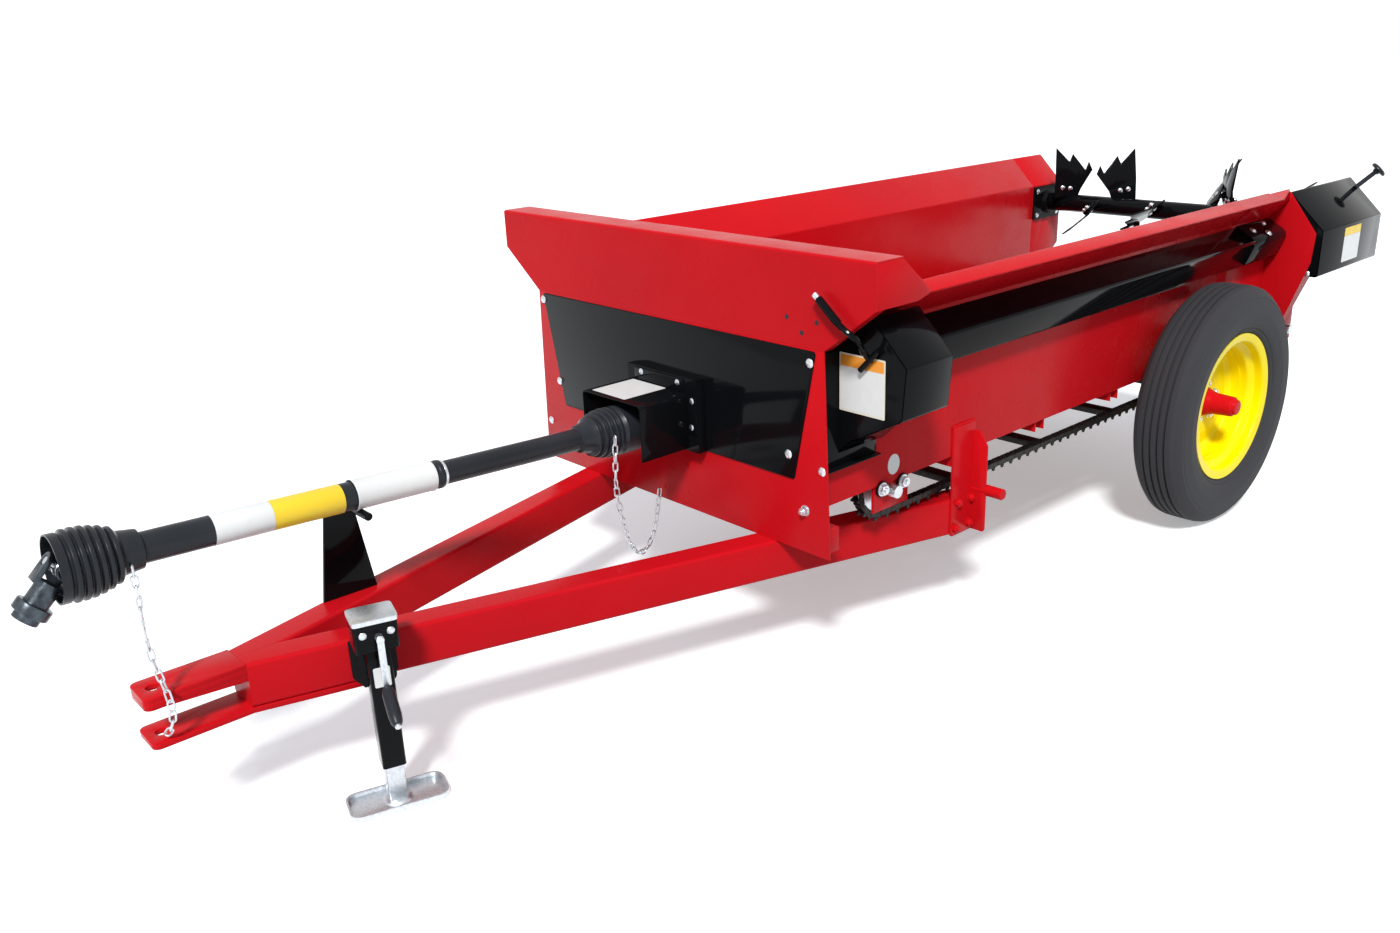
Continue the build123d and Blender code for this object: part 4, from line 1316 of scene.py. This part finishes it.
# ---------------------------------------------------------------- driveline
@dataclass
class DriveShaft:
    """Guarded drive shaft with its forked front joint, at rest on its stand."""

    droop: float = 45.0
    tube_rear: float = 27.0
    tube_front: float = 31.0
    rib_pitch: float = 15.0
    rib_depth: float = 8.0
    ear_in: float = 24.0
    ear_out: float = 34.0
    ear_half: float = 17.0

    def build(self) -> None:
        """Builds guards, bands, bells, stand and joint."""
        self.tubes()
        self.bells()
        self.joint()
        self.stand()

    def sleeve(self, shape: Shape, rows: Sequence[Row], closed: bool = True) -> Shape:
        """Adds a turned guard piece with (radius, distance from the rear joint) rows."""
        return shape.turned(rows, Driveline.at(0), Driveline.axis, 48, closed)

    def tubes(self) -> None:
        """Telescoping guard tubes with their blank bands and the loose sleeve."""
        rear, front = self.tube_rear, self.tube_front
        self.sleeve(Shape(), [(rear, 92), (rear, 620), (rear - 3, 620), (rear - 3, 92)]).piece(
            "guard_sleeve_rear", "frame", Finish.PLASTIC, ["guard_tube_rear"])
        self.sleeve(Shape(), [(front - 4, 502), (front + 1.5, 502, 1), (front + 1.5, 512, 1),
                              (front, 514), (front, 1180), (front - 4, 1180)]).piece(
            "guard_sleeve_front", "frame", Finish.PLASTIC, ["guard_tube_front"])
        for name, finish, first, last, proud in (
                ("white_band", Finish.WHITE_FILM, 893, 1012, 0.5),
                ("yellow_band", Finish.YELLOW_FILM, 741, 892.6, 0.5)):
            self.sleeve(Shape(), [(front + 0.05, first), (front + proud, first, 0.2),
                                  (front + proud, last, 0.2), (front + 0.05, last)]).piece(
                f"guard_{name}", "frame", finish)
        wrap = Shape()
        self.sleeve(wrap, [(front + 0.6, 524), (front + 3.6, 522, 1), (front + 2.2, 532),
                           (front + 1.9, 618), (front + 2.2, 703), (front + 4.2, 713, 1),
                           (front + 3.2, 714, 0.4), (front + 0.6, 704)])
        wrap.piece("guard_loose_sleeve", "frame", Finish.WHITE_FILM)
        clip = Shape()
        self.sleeve(clip, [(rear + 0.1, 494), (rear + 3, 494, 1.2), (rear + 3, 501, 1.2),
                           (rear + 0.1, 501)])
        clip.piece("guard_clip_ring", "frame", Finish.ZINC)

    def ribs(self, peaks: Sequence[float], first: float, step: float) -> list[Row]:
        """Rows of a moulded bell's rounded ribs.

        Args:
            peaks: Radius of each rib.
            first: Place of the first one.
            step: Signed pitch.

        Returns:
            The rows.
        """
        rows = []
        for i, peak in enumerate(peaks):
            middle = first + i * step
            rows += [(peak, middle - step * 0.24, 2.5), (peak, middle + step * 0.24, 2.5),
                     (peak - self.rib_depth, middle + step * 0.5, 1.5)]
        return rows

    def bells(self) -> None:
        """Ribbed bells over both joints."""
        rear = Shape()
        foot = self.tube_rear
        self.sleeve(rear, [(foot, 96), (foot, 124), (foot + 7, 120), (40, 96),
                           *self.ribs((50, 56, 60, 62, 62), 84, -self.rib_pitch),
                           (62, 6), (62, -40), (58, -40), (58, 8), (50, 30), (36, 88)])
        rear.piece("guard_bell_ribbed_rear", "frame", Finish.PLASTIC, ["guard_bell_rear"])
        front = Shape()
        foot = self.tube_front
        self.sleeve(front, [(foot, 1176), (foot, 1144), (foot + 8, 1148), (44, 1184),
                            *self.ribs((56, 62, 66, 69, 70, 70), 1196, self.rib_pitch),
                            (67, 1284, 2), (67, 1300), (63.5, 1300), (63.5, 1280), (56, 1258),
                            (40, 1188)])
        front.piece("guard_bell_ribbed_front", "frame", Finish.PLASTIC, ["guard_bell_front"])

    def fork(self, place: Matrix, foot: float, neck: Sequence[Row]) -> Shape:
        """Forked yoke with its eyes on X through the origin and its neck along +Z.

        Args:
            place: Takes it to the joint.
            foot: Distance of its base.
            neck: Turned rows of the neck.

        Returns:
            The yoke.
        """
        shape = Shape(place, lambda x, y, z: Vector((x, y, z)) * MM)
        half = self.ear_half
        eye = [(-half * math.cos(t), -half * math.sin(t))
               for t in (math.pi * k / 12 for k in range(13))]
        ear = eye + [(half, foot + 10), (-half, foot + 10)]
        for hand in (1, -1):
            shape.prism(ear, lambda y, z: shape.at(hand * self.ear_in, y, z),
                        shape.at(hand * (self.ear_out - self.ear_in), 0, 0),
                        holes=[ring(0, 0, 9)], edge=1.5)
        shape.prism([(-self.ear_in - 1, -half), (self.ear_in + 1, -half),
                     (self.ear_in + 1, half), (-self.ear_in - 1, half)],
                    lambda x, y: shape.at(x, y, foot), shape.at(0, 0, 10), edge=1.0)
        return shape.turned(neck, Vector(), UP, 40, closed=True)

    def joint(self) -> None:
        """Front universal joint: two forks on a four-armed cross."""
        droop = math.radians(self.droop)
        down = Vector((0, -math.cos(droop), -math.sin(droop)))
        cross_way = Vector((0, math.sin(droop), -math.cos(droop)))
        back = -Driveline.axis
        centre = Driveline.at(Driveline.length)
        place = Matrix.Translation(centre)
        shaft_turn = Matrix((OUT, back.cross(OUT), back)).transposed().to_4x4()
        yoke_turn = Matrix((cross_way, down.cross(cross_way), down)).transposed().to_4x4()
        shaft = self.fork(place @ shaft_turn, 42, [(0, 43), (22, 43), (22, 85, 3), (15, 85),
                                                  (15, 1250), (0, 1250)])
        shaft.piece("drive_shaft_fork", "drive", Finish.GUNMETAL, ["pto_shaft"])
        yoke = self.fork(place @ yoke_turn, 32, [(0, 33), (24, 33), (24, 76), (34, 76, 3),
                                                (34, 98, 3), (25, 98), (25, 111.5, 1.5),
                                                (17.5, 111.5, 1), (17.5, 46), (0, 46)])
        yoke.piece("drive_yoke_fork", "drive", Finish.GUNMETAL, ["pto_yoke"])
        cross = Shape(place @ yoke_turn)
        cross.turned([(0, -32.5), (7.5, -32.5), (8.9, -31), (8.9, 31), (7.5, 32.5), (0, 32.5)],
                     Vector(), OUT, 24)
        cross.turned([(0, -32.5), (7.5, -32.5), (8.9, -31), (8.9, 31), (7.5, 32.5), (0, 32.5)],
                     Vector(), Vector((0, 1, 0)), 24)
        body = [(17 * math.sin(t), -17 * math.cos(t)) for t in (math.pi * k / 10 for k in range(11))]
        cross.turned(body, Vector(), UP, 24)
        cross.turned([(0, 15), (3.5, 15), (3.5, 19), (2.4, 20), (2.4, 24), (0, 24.5)], Vector(),
                     Vector((0.6, 0.6, -1)), 12)
        cross.piece("drive_joint_cross", "drive", Finish.ZINC)

    def stand(self) -> None:
        """Plate on the right rail with a bar under the resting shaft."""
        rest = Driveline.at(700) + (Driveline.axis.cross(OUT)).normalized() * 0
        down = OUT.cross(Driveline.axis).normalized()
        down = down if down.z < 0 else -down
        bar = rest + down * (self.tube_front + 9) * MM
        station = (bar.y - Layout.head_y) / MM
        height = bar.z / MM
        shape = Shape()
        top = height + 20
        shape.across([(station - 65, 365), (station + 65, 365), (station + 28, top, 18),
                      (station - 28, top, 18)], -112, -104)
        shape.rod((-108, station, height), (45, station, height), 9, 2)
        shape.piece("shaft_stand_plate", "frame", Finish.BLACK, ["pto_stand"])


# ---------------------------------------------------------------- jack
@dataclass
class Jack:
    """Swivel jack on the left rail, standing on its foot."""

    tongue: Tongue
    station: float = -957.0
    off: float = 66.0
    half: float = 25.0
    top: float = 445.0
    bottom: float = 96.0
    swivel: float = 315.0

    @property
    def place(self) -> Matrix:
        """Takes the jack's own frame (out from the rail, along it, height) to the machine."""
        x = self.tongue.rail_x(self.station) + self.off / math.cos(self.tongue.angle)
        return Matrix.Translation(Layout.at(x, self.station, 0)) @ Matrix.Rotation(
            -self.tongue.angle, 4, "Z")

    def shape(self) -> Shape:
        """New shape in the jack's own frame."""
        return Shape(self.place, lambda n, u, z: Vector((n, u, z)) * MM)

    def post(self, shape: Shape, n: Row, u: Row, z: Row, radius: float) -> Shape:
        """Adds an upright block with round corners: n out from the rail, u along it."""
        return shape.upright([(n[0], u[0], radius), (n[1], u[0], radius), (n[1], u[1], radius),
                              (n[0], u[1], radius)], z[0], z[1])

    def build(self) -> None:
        """Builds mount, tube, cap, leg and crank."""
        self.mount()
        self.tube()
        self.leg()
        self.crank()

    def mount(self) -> None:
        """Bracket on the rail with the swivel's ring."""
        shape = self.shape()
        shape.across([(-48, 365), (-48, 280), (-26, 252), (26, 252), (48, 280), (48, 365)],
                     -self.off, -self.off + 8)
        shape.turned([(28.3, 0), (34, 0, 1.5), (34, 24, 1.5), (28.3, 24)],
                     Vector((-self.off + 8, 0, self.swivel)) * MM, OUT, 40, closed=True)
        shape.piece("jack_bracket", "frame", Finish.BLACK, ["jack_mount"])

    def tube(self) -> None:
        """Square tube, head, swivel plate and plated cap."""
        half, top = self.half, self.top
        shape = self.shape()
        hole = [(-half + 4, -half + 4), (half - 4, -half + 4), (half - 4, half - 4),
                (-half + 4, half - 4)]
        shape.upright([(-half, -half, 7), (half, -half, 7), (half, half, 7), (-half, half, 7)],
                      self.bottom, top - 60, holes=[hole])
        self.post(shape, (-half, half + 22), (-48, 42), (top - 62, top), 9)
        shape.across([(-38, 360, 10), (-38, 270, 16), (38, 270, 16), (38, 360, 10)],
                     -half - 8, -half)
        shape.turned([(0, 0), (28, 0), (28, 31), (0, 31)],
                     Vector((-half - 8, 0, self.swivel)) * MM, -OUT, 32)
        shape.piece("jack_outer_tube", "jack", Finish.BLACK, ["jack_tube"])
        cap = self.shape()
        self.post(cap, (-half - 2, half + 26), (-50, 44), (top, top + 10), 10)
        cap.piece("jack_cap_pressed", "jack", Finish.ZINC, ["jack_cap"])
        bolts = self.shape()
        for u in (-30, 26):
            bolts.dome(Vector((half + 22, u, top - 22)) * MM, OUT, 8, 4)
        bolts.piece("jack_head_bolts", "jack", Finish.ZINC)
        label = self.shape()
        label.across([(-17, 290, 3), (17, 290, 3), (17, 335, 3), (-17, 335, 3)], half, half + 0.5,
                     edge=0)
        label.piece("jack_blank_label", "jack", Finish.WHITE_FILM)

    def leg(self) -> None:
        """Inner leg on a pressed foot with a turned-up rim."""
        leg = self.shape()
        inner = self.half - 5
        self.post(leg, (-inner, inner), (-inner, inner), (4, self.top - 150), 2.5)
        plan = [(-49, -106, 25), (49, -106, 25), (49, 106, 25), (-49, 106, 25)]
        leg.upright(plan, 0, 5, edge=1.5)
        rim = rounded([(-44, -101, 20), (44, -101, 20), (44, 101, 20), (-44, 101, 20)])
        leg.upright(plan, 4, 15, holes=[rim])
        leg.turned([(0, 5), (33, 5), (31, 9), (25, 13), (0, 13)], Vector(), UP, 32)
        leg.piece("jack_leg_and_foot", "jack_leg", Finish.ZINC, ["jack_leg"])

    def crank(self) -> None:
        """Crank arm with its tapered grip."""
        half, height = self.half, self.top - 28
        arm = self.shape()
        arm.rod((half + 22.6, 0, height), (half + 46, 0, height), 8, 1.5)
        arm.prism([(-7, height + 9, 6), (7, height + 9, 6), (7, height - 114, 6),
                   (-7, height - 114, 6)], lambda u, z: arm.at(half + 38, u, z), arm.at(6, 0, 0))
        way = Vector((0.842, 0, -0.539))
        foot = Vector((half + 40, 0, height - 108)) * MM
        arm.turned([(0, 88), (6.5, 88), (6.5, 94), (5, 96), (0, 96)], foot, way, 20)
        arm.piece("jack_crank_arm", "jack_crank", Finish.ZINC, ["jack_crank"])
        grip = self.shape()
        grip.turned([(0, 0), (8, 0), (10, 3), (13.5, 16), (14, 66), (12, 82), (9, 89), (0, 90)],
                    foot, way, 32)
        grip.piece("jack_crank_grip", "jack_crank", Finish.PLASTIC)


# ---------------------------------------------------------------- guard chains
@dataclass
class GuardChain:
    """Welded chain that keeps a guard from turning, hanging in a slack curve."""

    name: str
    route: tuple[Row, ...]
    wire: float = 4.2
    link_long: float = 31.0
    link_wide: float = 15.5

    def build(self) -> None:
        """Builds the chain along its route."""
        path = route_points([Layout.at(*row) for row in self.route])
        shape = Shape()
        gone = [0.0]
        for one, two in zip(path, path[1:]):
            gone.append(gone[-1] + (two - one).length)
        spare = gone[-1] - self.link_long * MM
        count = round(spare / ((self.link_long - 2 * self.wire) * MM)) + 1
        for i in range(count):
            place, along = self.sample(path, gone, self.link_long * MM / 2
                                       + i * spare / (count - 1))
            self.link(shape, place, along, 90.0 * (i % 2))
        made = shape.piece(self.name, "frame", Finish.ZINC)
        tuple(path[0])
        [tuple(p) for p in path]
        log.info("%s: %.1f mm long, %d links", self.name, gone[-1] / MM, count)

    @staticmethod
    def sample(path: Sequence[Vector], gone: Sequence[float], at: float) -> tuple[Vector, Vector]:
        """Place and direction at a distance along the path."""
        i = max(k for k, g in enumerate(gone[:-1]) if g <= at + 1e-9)
        run = path[i + 1] - path[i]
        return path[i] + run.normalized() * (at - gone[i]), run.normalized()

    def link(self, shape: Shape, place: Vector, along: Vector, roll: float) -> None:
        """Adds one stadium-shaped link.

        Args:
            shape: The chain.
            place: The link's middle.
            along: Direction of the chain there.
            roll: Turn about that direction, in degrees.
        """
        wide = (self.link_wide - self.wire) / 2 * MM
        long = (self.link_long / 2 - self.link_wide / 2) * MM
        part = bmesh.new()
        bmesh.ops.create_circle(part, segments=8, radius=self.wire / 2 * MM,
                                matrix=Matrix.Translation((wide, 0, long)))
        edges = part.edges[:]
        for sign in (-1, 1):
            made = bmesh.ops.extrude_edge_only(part, edges=edges)["geom"]
            verts = [g for g in made if isinstance(g, bmesh.types.BMVert)]
            edges = [g for g in made if isinstance(g, bmesh.types.BMEdge)
                     and all(v in verts for v in g.verts)]
            bmesh.ops.translate(part, verts=verts, vec=(0, 0, sign * 2 * long))
            made = bmesh.ops.spin(part, geom=verts + edges, axis=(0, 1, 0),
                                  cent=(0, 0, sign * long), steps=6, angle=math.pi)["geom_last"]
            edges = [g for g in made if isinstance(g, bmesh.types.BMEdge)]
        bmesh.ops.remove_doubles(part, verts=part.verts, dist=1e-5)
        turn = turn_to(along) @ Matrix.Rotation(math.radians(roll), 4, "Z")
        shape.add(part, Matrix.Translation(place) @ turn)


# routes as (x, station, height), from a bell to the frame
CHAIN_ROUTES: dict[str, tuple[Row, ...]] = {
    "guard_chain_rear": (
        (70, -228, 622), (62, -227, 548), (58, -226, 473), (51, -210, 395), (40, -184, 322),
        (29, -158, 282), (17, -132, 262), (5, -106, 257), (-7, -80, 265), (-17, -56, 286),
        (-24, -38, 318), (-31, -22, 362), (-37, -9, 398)),
    "guard_chain_front": (
        (51, -1348, 645), (45, -1347, 600), (42, -1347, 550), (43, -1349, 495), (46, -1347, 445),
        (55, -1341, 403), (66, -1336, 365), (67, -1336, 327), (58, -1341, 293), (38, -1350, 274)),
}


# ---------------------------------------------------------------- fasteners and labels
@dataclass
class Fasteners:
    """Bolts that show on the sheets."""

    # x, station, height, head radius
    shield_domes: tuple[Row, ...] = ((-522, -3, 839, 11), (-473, -3, 609, 11), (504, -3, 830, 11),
                                     (435, -3, 600, 11))
    plate_domes: tuple[Row, ...] = ((-535, 0, 478, 11), (538, 0, 580, 11))
    hood_domes: tuple[Row, ...] = ((-60, -33, 717, 8), (81, -33, 714, 8), (133, -33, 675, 8),
                                   (129, -33, 606, 8))
    board_holes: tuple[Row, ...] = ((432, 0, 925, 6), (523, 0, 924, 6), (478, 0, 895, 6))
    tension_nuts: tuple[Row, ...] = ((540, 218, 475), (540, 296, 475))

    def build(self) -> None:
        """Builds every set of fasteners."""
        domes = Shape()
        for x, station, height, radius in (*self.shield_domes, *self.plate_domes, *self.hood_domes):
            domes.dome(Layout.at(x, station, height), AHEAD, radius, radius * 0.45)
        domes.nut(Layout.at(485, 0, 471), AHEAD, 19, 11, 6)
        domes.piece("front_bolts", "frame", Finish.ZINC)
        # Thin black plastic discs laid on the headboard's three holes: painted shade for the dark inside of each
        # hole.
        holes = Shape()
        for x, station, height, radius in self.board_holes:
            holes.turned([(0, 0.4), (radius, 0.4), (radius, -1)], Layout.at(x, station, height),
                         AHEAD, 20)
        holes.piece("board_hole_shade_discs", "frame", Finish.PLASTIC)
        self.adjusters()
        self.cover_bolts()

    def adjusters(self) -> None:
        """Apron tensioners: nuts on black washers on the left and right walls."""
        for side, hand in (("left", 1), ("right", -1)):
            nuts, washers = Shape(), Shape()
            for x, station, height in self.tension_nuts:
                place = Layout.at(hand * 531, station, height)
                washers.turned([(0, 4), (19, 4), (20, 3), (20, -0.5)], place, OUT * hand, 32)
                nuts.nut(place + OUT * hand * 4 * MM, OUT * hand, 24, 10, 5)
            nuts.piece(f"tension_nuts_{side}", "frame", Finish.ZINC)
            washers.piece(f"tension_washers_{side}", "frame", Finish.BLACK)

    def cover_bolts(self) -> None:
        """Bolts on the covers and bearing plates."""
        shape = Shape()
        shape.dome(Layout.at(672, 2208, 708), AHEAD, 9, 4)
        for x, station, height in ((561, 2020, 864), (588, 2075, 852), (545, 2125, 873)):
            shape.dome(Layout.at(x, station, height), Vector((0.5, 0, 0.85)), 9, 5, 12)
        for hand in (1, -1):
            for station, height in ((2450, 775), (2590, 775), (2450, 869), (2590, 869)):
                shape.dome(Layout.at(hand * 519, station, height), -OUT * hand, 10, 5)
        shape.piece("cover_bolts", "frame", Finish.ZINC)


@dataclass
class BlankLabels:
    """Blank adhesive labels where the machine carries its printed ones."""

    proud: float = 0.5

    def build(self) -> None:
        """Builds every label."""
        self.on_front("housing_label_border", Finish.CREAM_FILM, (536, 668), (715, 850), 61, 0.0)
        self.on_front("housing_label_field", Finish.WHITE_FILM, (540, 664), (719, 819), 61, 0.3)
        self.on_front("housing_label_header", Finish.ORANGE_FILM, (540, 664), (820, 846), 61, 0.3)
        rear = 706
        self.on_side("rear_cover_label", Finish.WHITE_FILM, (2389, 2520), (722, 809), rear)
        self.on_side("rear_cover_label_header", Finish.YELLOW_FILM, (2389, 2520), (809.4, 837), rear)
        top = Shape()
        top.upright([(-91, -170, 3), (40, -170, 3), (40, -36, 3), (-91, -36, 3)], 692,
                    692 + self.proud, edge=0)
        top.piece("hood_label", "frame", Finish.WHITE_FILM)
        sticker = Shape()
        oval = [(263 + 22 * math.cos(t), 527 + 26 * math.sin(t))
                for t in (math.tau * k / 40 for k in range(40))]
        sticker.across(oval, 531, 531 + self.proud, edge=0)
        sticker.piece("wall_oval_label", "frame", Finish.WHITE_FILM)

    def on_front(self, name: str, finish: Finish, x: Row, z: Row, station: float,
                 lift: float) -> None:
        """A label on a face that looks ahead.

        Args:
            name: The piece's name.
            finish: Its finish.
            x: Its sides.
            z: Its heights.
            station: The face.
            lift: How far it stands over another label.
        """
        shape = Shape()
        shape.along([(x[0], z[0], 3), (x[1], z[0], 3), (x[1], z[1], 3), (x[0], z[1], 3)],
                    station - lift - self.proud, station - lift, edge=0)
        shape.piece(name, "frame", finish)

    def on_side(self, name: str, finish: Finish, station: Row, z: Row, x: float) -> None:
        """A label on a face that looks out to the left.

        Args:
            name: The piece's name.
            finish: Its finish.
            station: Its ends.
            z: Its heights.
            x: The face.
        """
        shape = Shape()
        shape.across([(station[0], z[0], 3), (station[1], z[0], 3), (station[1], z[1], 3),
                      (station[0], z[1], 3)], x, x + self.proud, edge=0)
        shape.piece(name, "frame", finish)


# ---------------------------------------------------------------- stage
@dataclass
class Studio:
    """Floor, light and camera."""

    floor_half: float = 40.0
    floor_bounce: float = 0.45
    floor_glow: float = 0.35
    camera_place: Point = (2.28363, -1.89722, 1.52965)
    camera_right: Point = (0.66842348, 0.74284024, -0.03739562)
    camera_up: Point = (-0.22887448, 0.25326368, 0.93993297)
    camera_back: Point = (0.70769098, -0.61971436, 0.33930456)
    lens: float = 30.875

    def build(self) -> None:
        """Sets the whole stage."""
        self.floor()
        self.world()
        self.lamps()
        self.camera()

    def floor(self) -> None:
        """Pale floor under the machine."""
        sheet = bmesh.new()
        bmesh.ops.create_grid(sheet, x_segments=1, y_segments=1, size=self.floor_half)
        mesh = bpy.data.meshes.new("floor")
        sheet.to_mesh(mesh)
        sheet.free()
        ground = bpy.data.objects.new("floor", mesh)
        bpy.context.scene.collection.objects.link(ground)
        nodes = Nodes("floor_paint")
        nodes.set(Base_Color=(0.93, 0.93, 0.93, 1.0), Roughness=0.9, Emission_Strength=self.floor_glow,
                  Emission_Color=(1.0, 1.0, 1.0, 1.0))
        tree = nodes.tree
        output = tree.nodes.get("Material Output")
        grey = tree.nodes.new("ShaderNodeBsdfDiffuse")
        grey.inputs["Color"].default_value = (*(self.floor_bounce,) * 3, 1.0)
        mix = tree.nodes.new("ShaderNodeMixShader")
        tree.links.new(self.seen(tree), mix.inputs["Fac"])
        tree.links.new(grey.outputs["BSDF"], mix.inputs[1])
        tree.links.new(nodes.shader.outputs["BSDF"], mix.inputs[2])
        tree.links.new(mix.outputs["Shader"], output.inputs["Surface"])
        mesh.materials.append(nodes.material)

    @staticmethod
    def seen(tree: bpy.types.NodeTree) -> bpy.types.NodeSocket:
        """One for camera, glossy and transmission rays, nought for the rest."""
        path = tree.nodes.new("ShaderNodeLightPath")
        first = tree.nodes.new("ShaderNodeMath")
        first.operation = "MAXIMUM"
        tree.links.new(path.outputs["Is Camera Ray"], first.inputs[0])
        tree.links.new(path.outputs["Is Glossy Ray"], first.inputs[1])
        last = tree.nodes.new("ShaderNodeMath")
        last.operation = "MAXIMUM"
        tree.links.new(first.outputs["Value"], last.inputs[0])
        tree.links.new(path.outputs["Is Transmission Ray"], last.inputs[1])
        return last.outputs["Value"]

    def world(self) -> None:
        """White to the camera and to gloss, soft light to the rest."""
        world = bpy.data.worlds.new("daylight")
        bpy.context.scene.world = world
        world.use_nodes = True
        tree = world.node_tree
        tree.nodes.clear()
        output = tree.nodes.new("ShaderNodeOutputWorld")
        seen = tree.nodes.new("ShaderNodeBackground")
        seen.inputs["Color"].default_value = (1.0, 1.0, 1.0, 1.0)
        soft = tree.nodes.new("ShaderNodeBackground")
        soft.inputs["Color"].default_value = (0.80, 0.90, 1.0, 1.0)
        soft.inputs["Strength"].default_value = 0.5
        mix = tree.nodes.new("ShaderNodeMixShader")
        tree.links.new(self.seen(tree), mix.inputs["Fac"])
        tree.links.new(soft.outputs["Background"], mix.inputs[1])
        tree.links.new(seen.outputs["Background"], mix.inputs[2])
        tree.links.new(mix.outputs["Shader"], output.inputs["Surface"])

    def lamps(self) -> None:
        """One large soft key from above the machine's left side."""
        lamp = bpy.data.lights.new("key", "SUN")
        lamp.energy = 3.4
        lamp.angle = math.radians(9)
        key = bpy.data.objects.new("key", lamp)
        key.rotation_mode = "QUATERNION"
        key.rotation_quaternion = Vector((0.44, -0.52, 0.73)).to_track_quat("Z", "Y")
        bpy.context.scene.collection.objects.link(key)

    def camera(self) -> None:
        """Camera at the wanted angle."""
        data = bpy.data.cameras.new("camera")
        data.sensor_width = 36.0
        data.lens = self.lens
        data.clip_end = 200.0
        view = bpy.data.objects.new("camera", data)
        turn = Matrix((self.camera_right, self.camera_up, self.camera_back)).transposed()
        x, station, z = self.camera_place
        view.matrix_world = Matrix.Translation((x, Layout.head_y + station, z)) @ turn.to_4x4()
        bpy.context.scene.collection.objects.link(view)
        bpy.context.scene.camera = view
        bpy.context.scene.view_settings.view_transform = "Standard"


def main() -> None:
    """Builds the stage and every sub-assembly in order."""
    logging.basicConfig(level=logging.INFO, format="%(message)s")
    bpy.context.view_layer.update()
    Studio().build()
    PackedNodes().build()
    tongue = Tongue()
    for name, route in CHAIN_ROUTES.items():
        GuardChain(name, route).build()
    for part in (BodySheets(), Covers(), FeedLever(), Apron(), Wheel("left", 1),
                 Wheel("right", -1), Beater(), tongue, DriveShaft(), Jack(tongue), Fasteners(),
                 BlankLabels()):
        part.build()


if __name__ == "__main__":
    main()
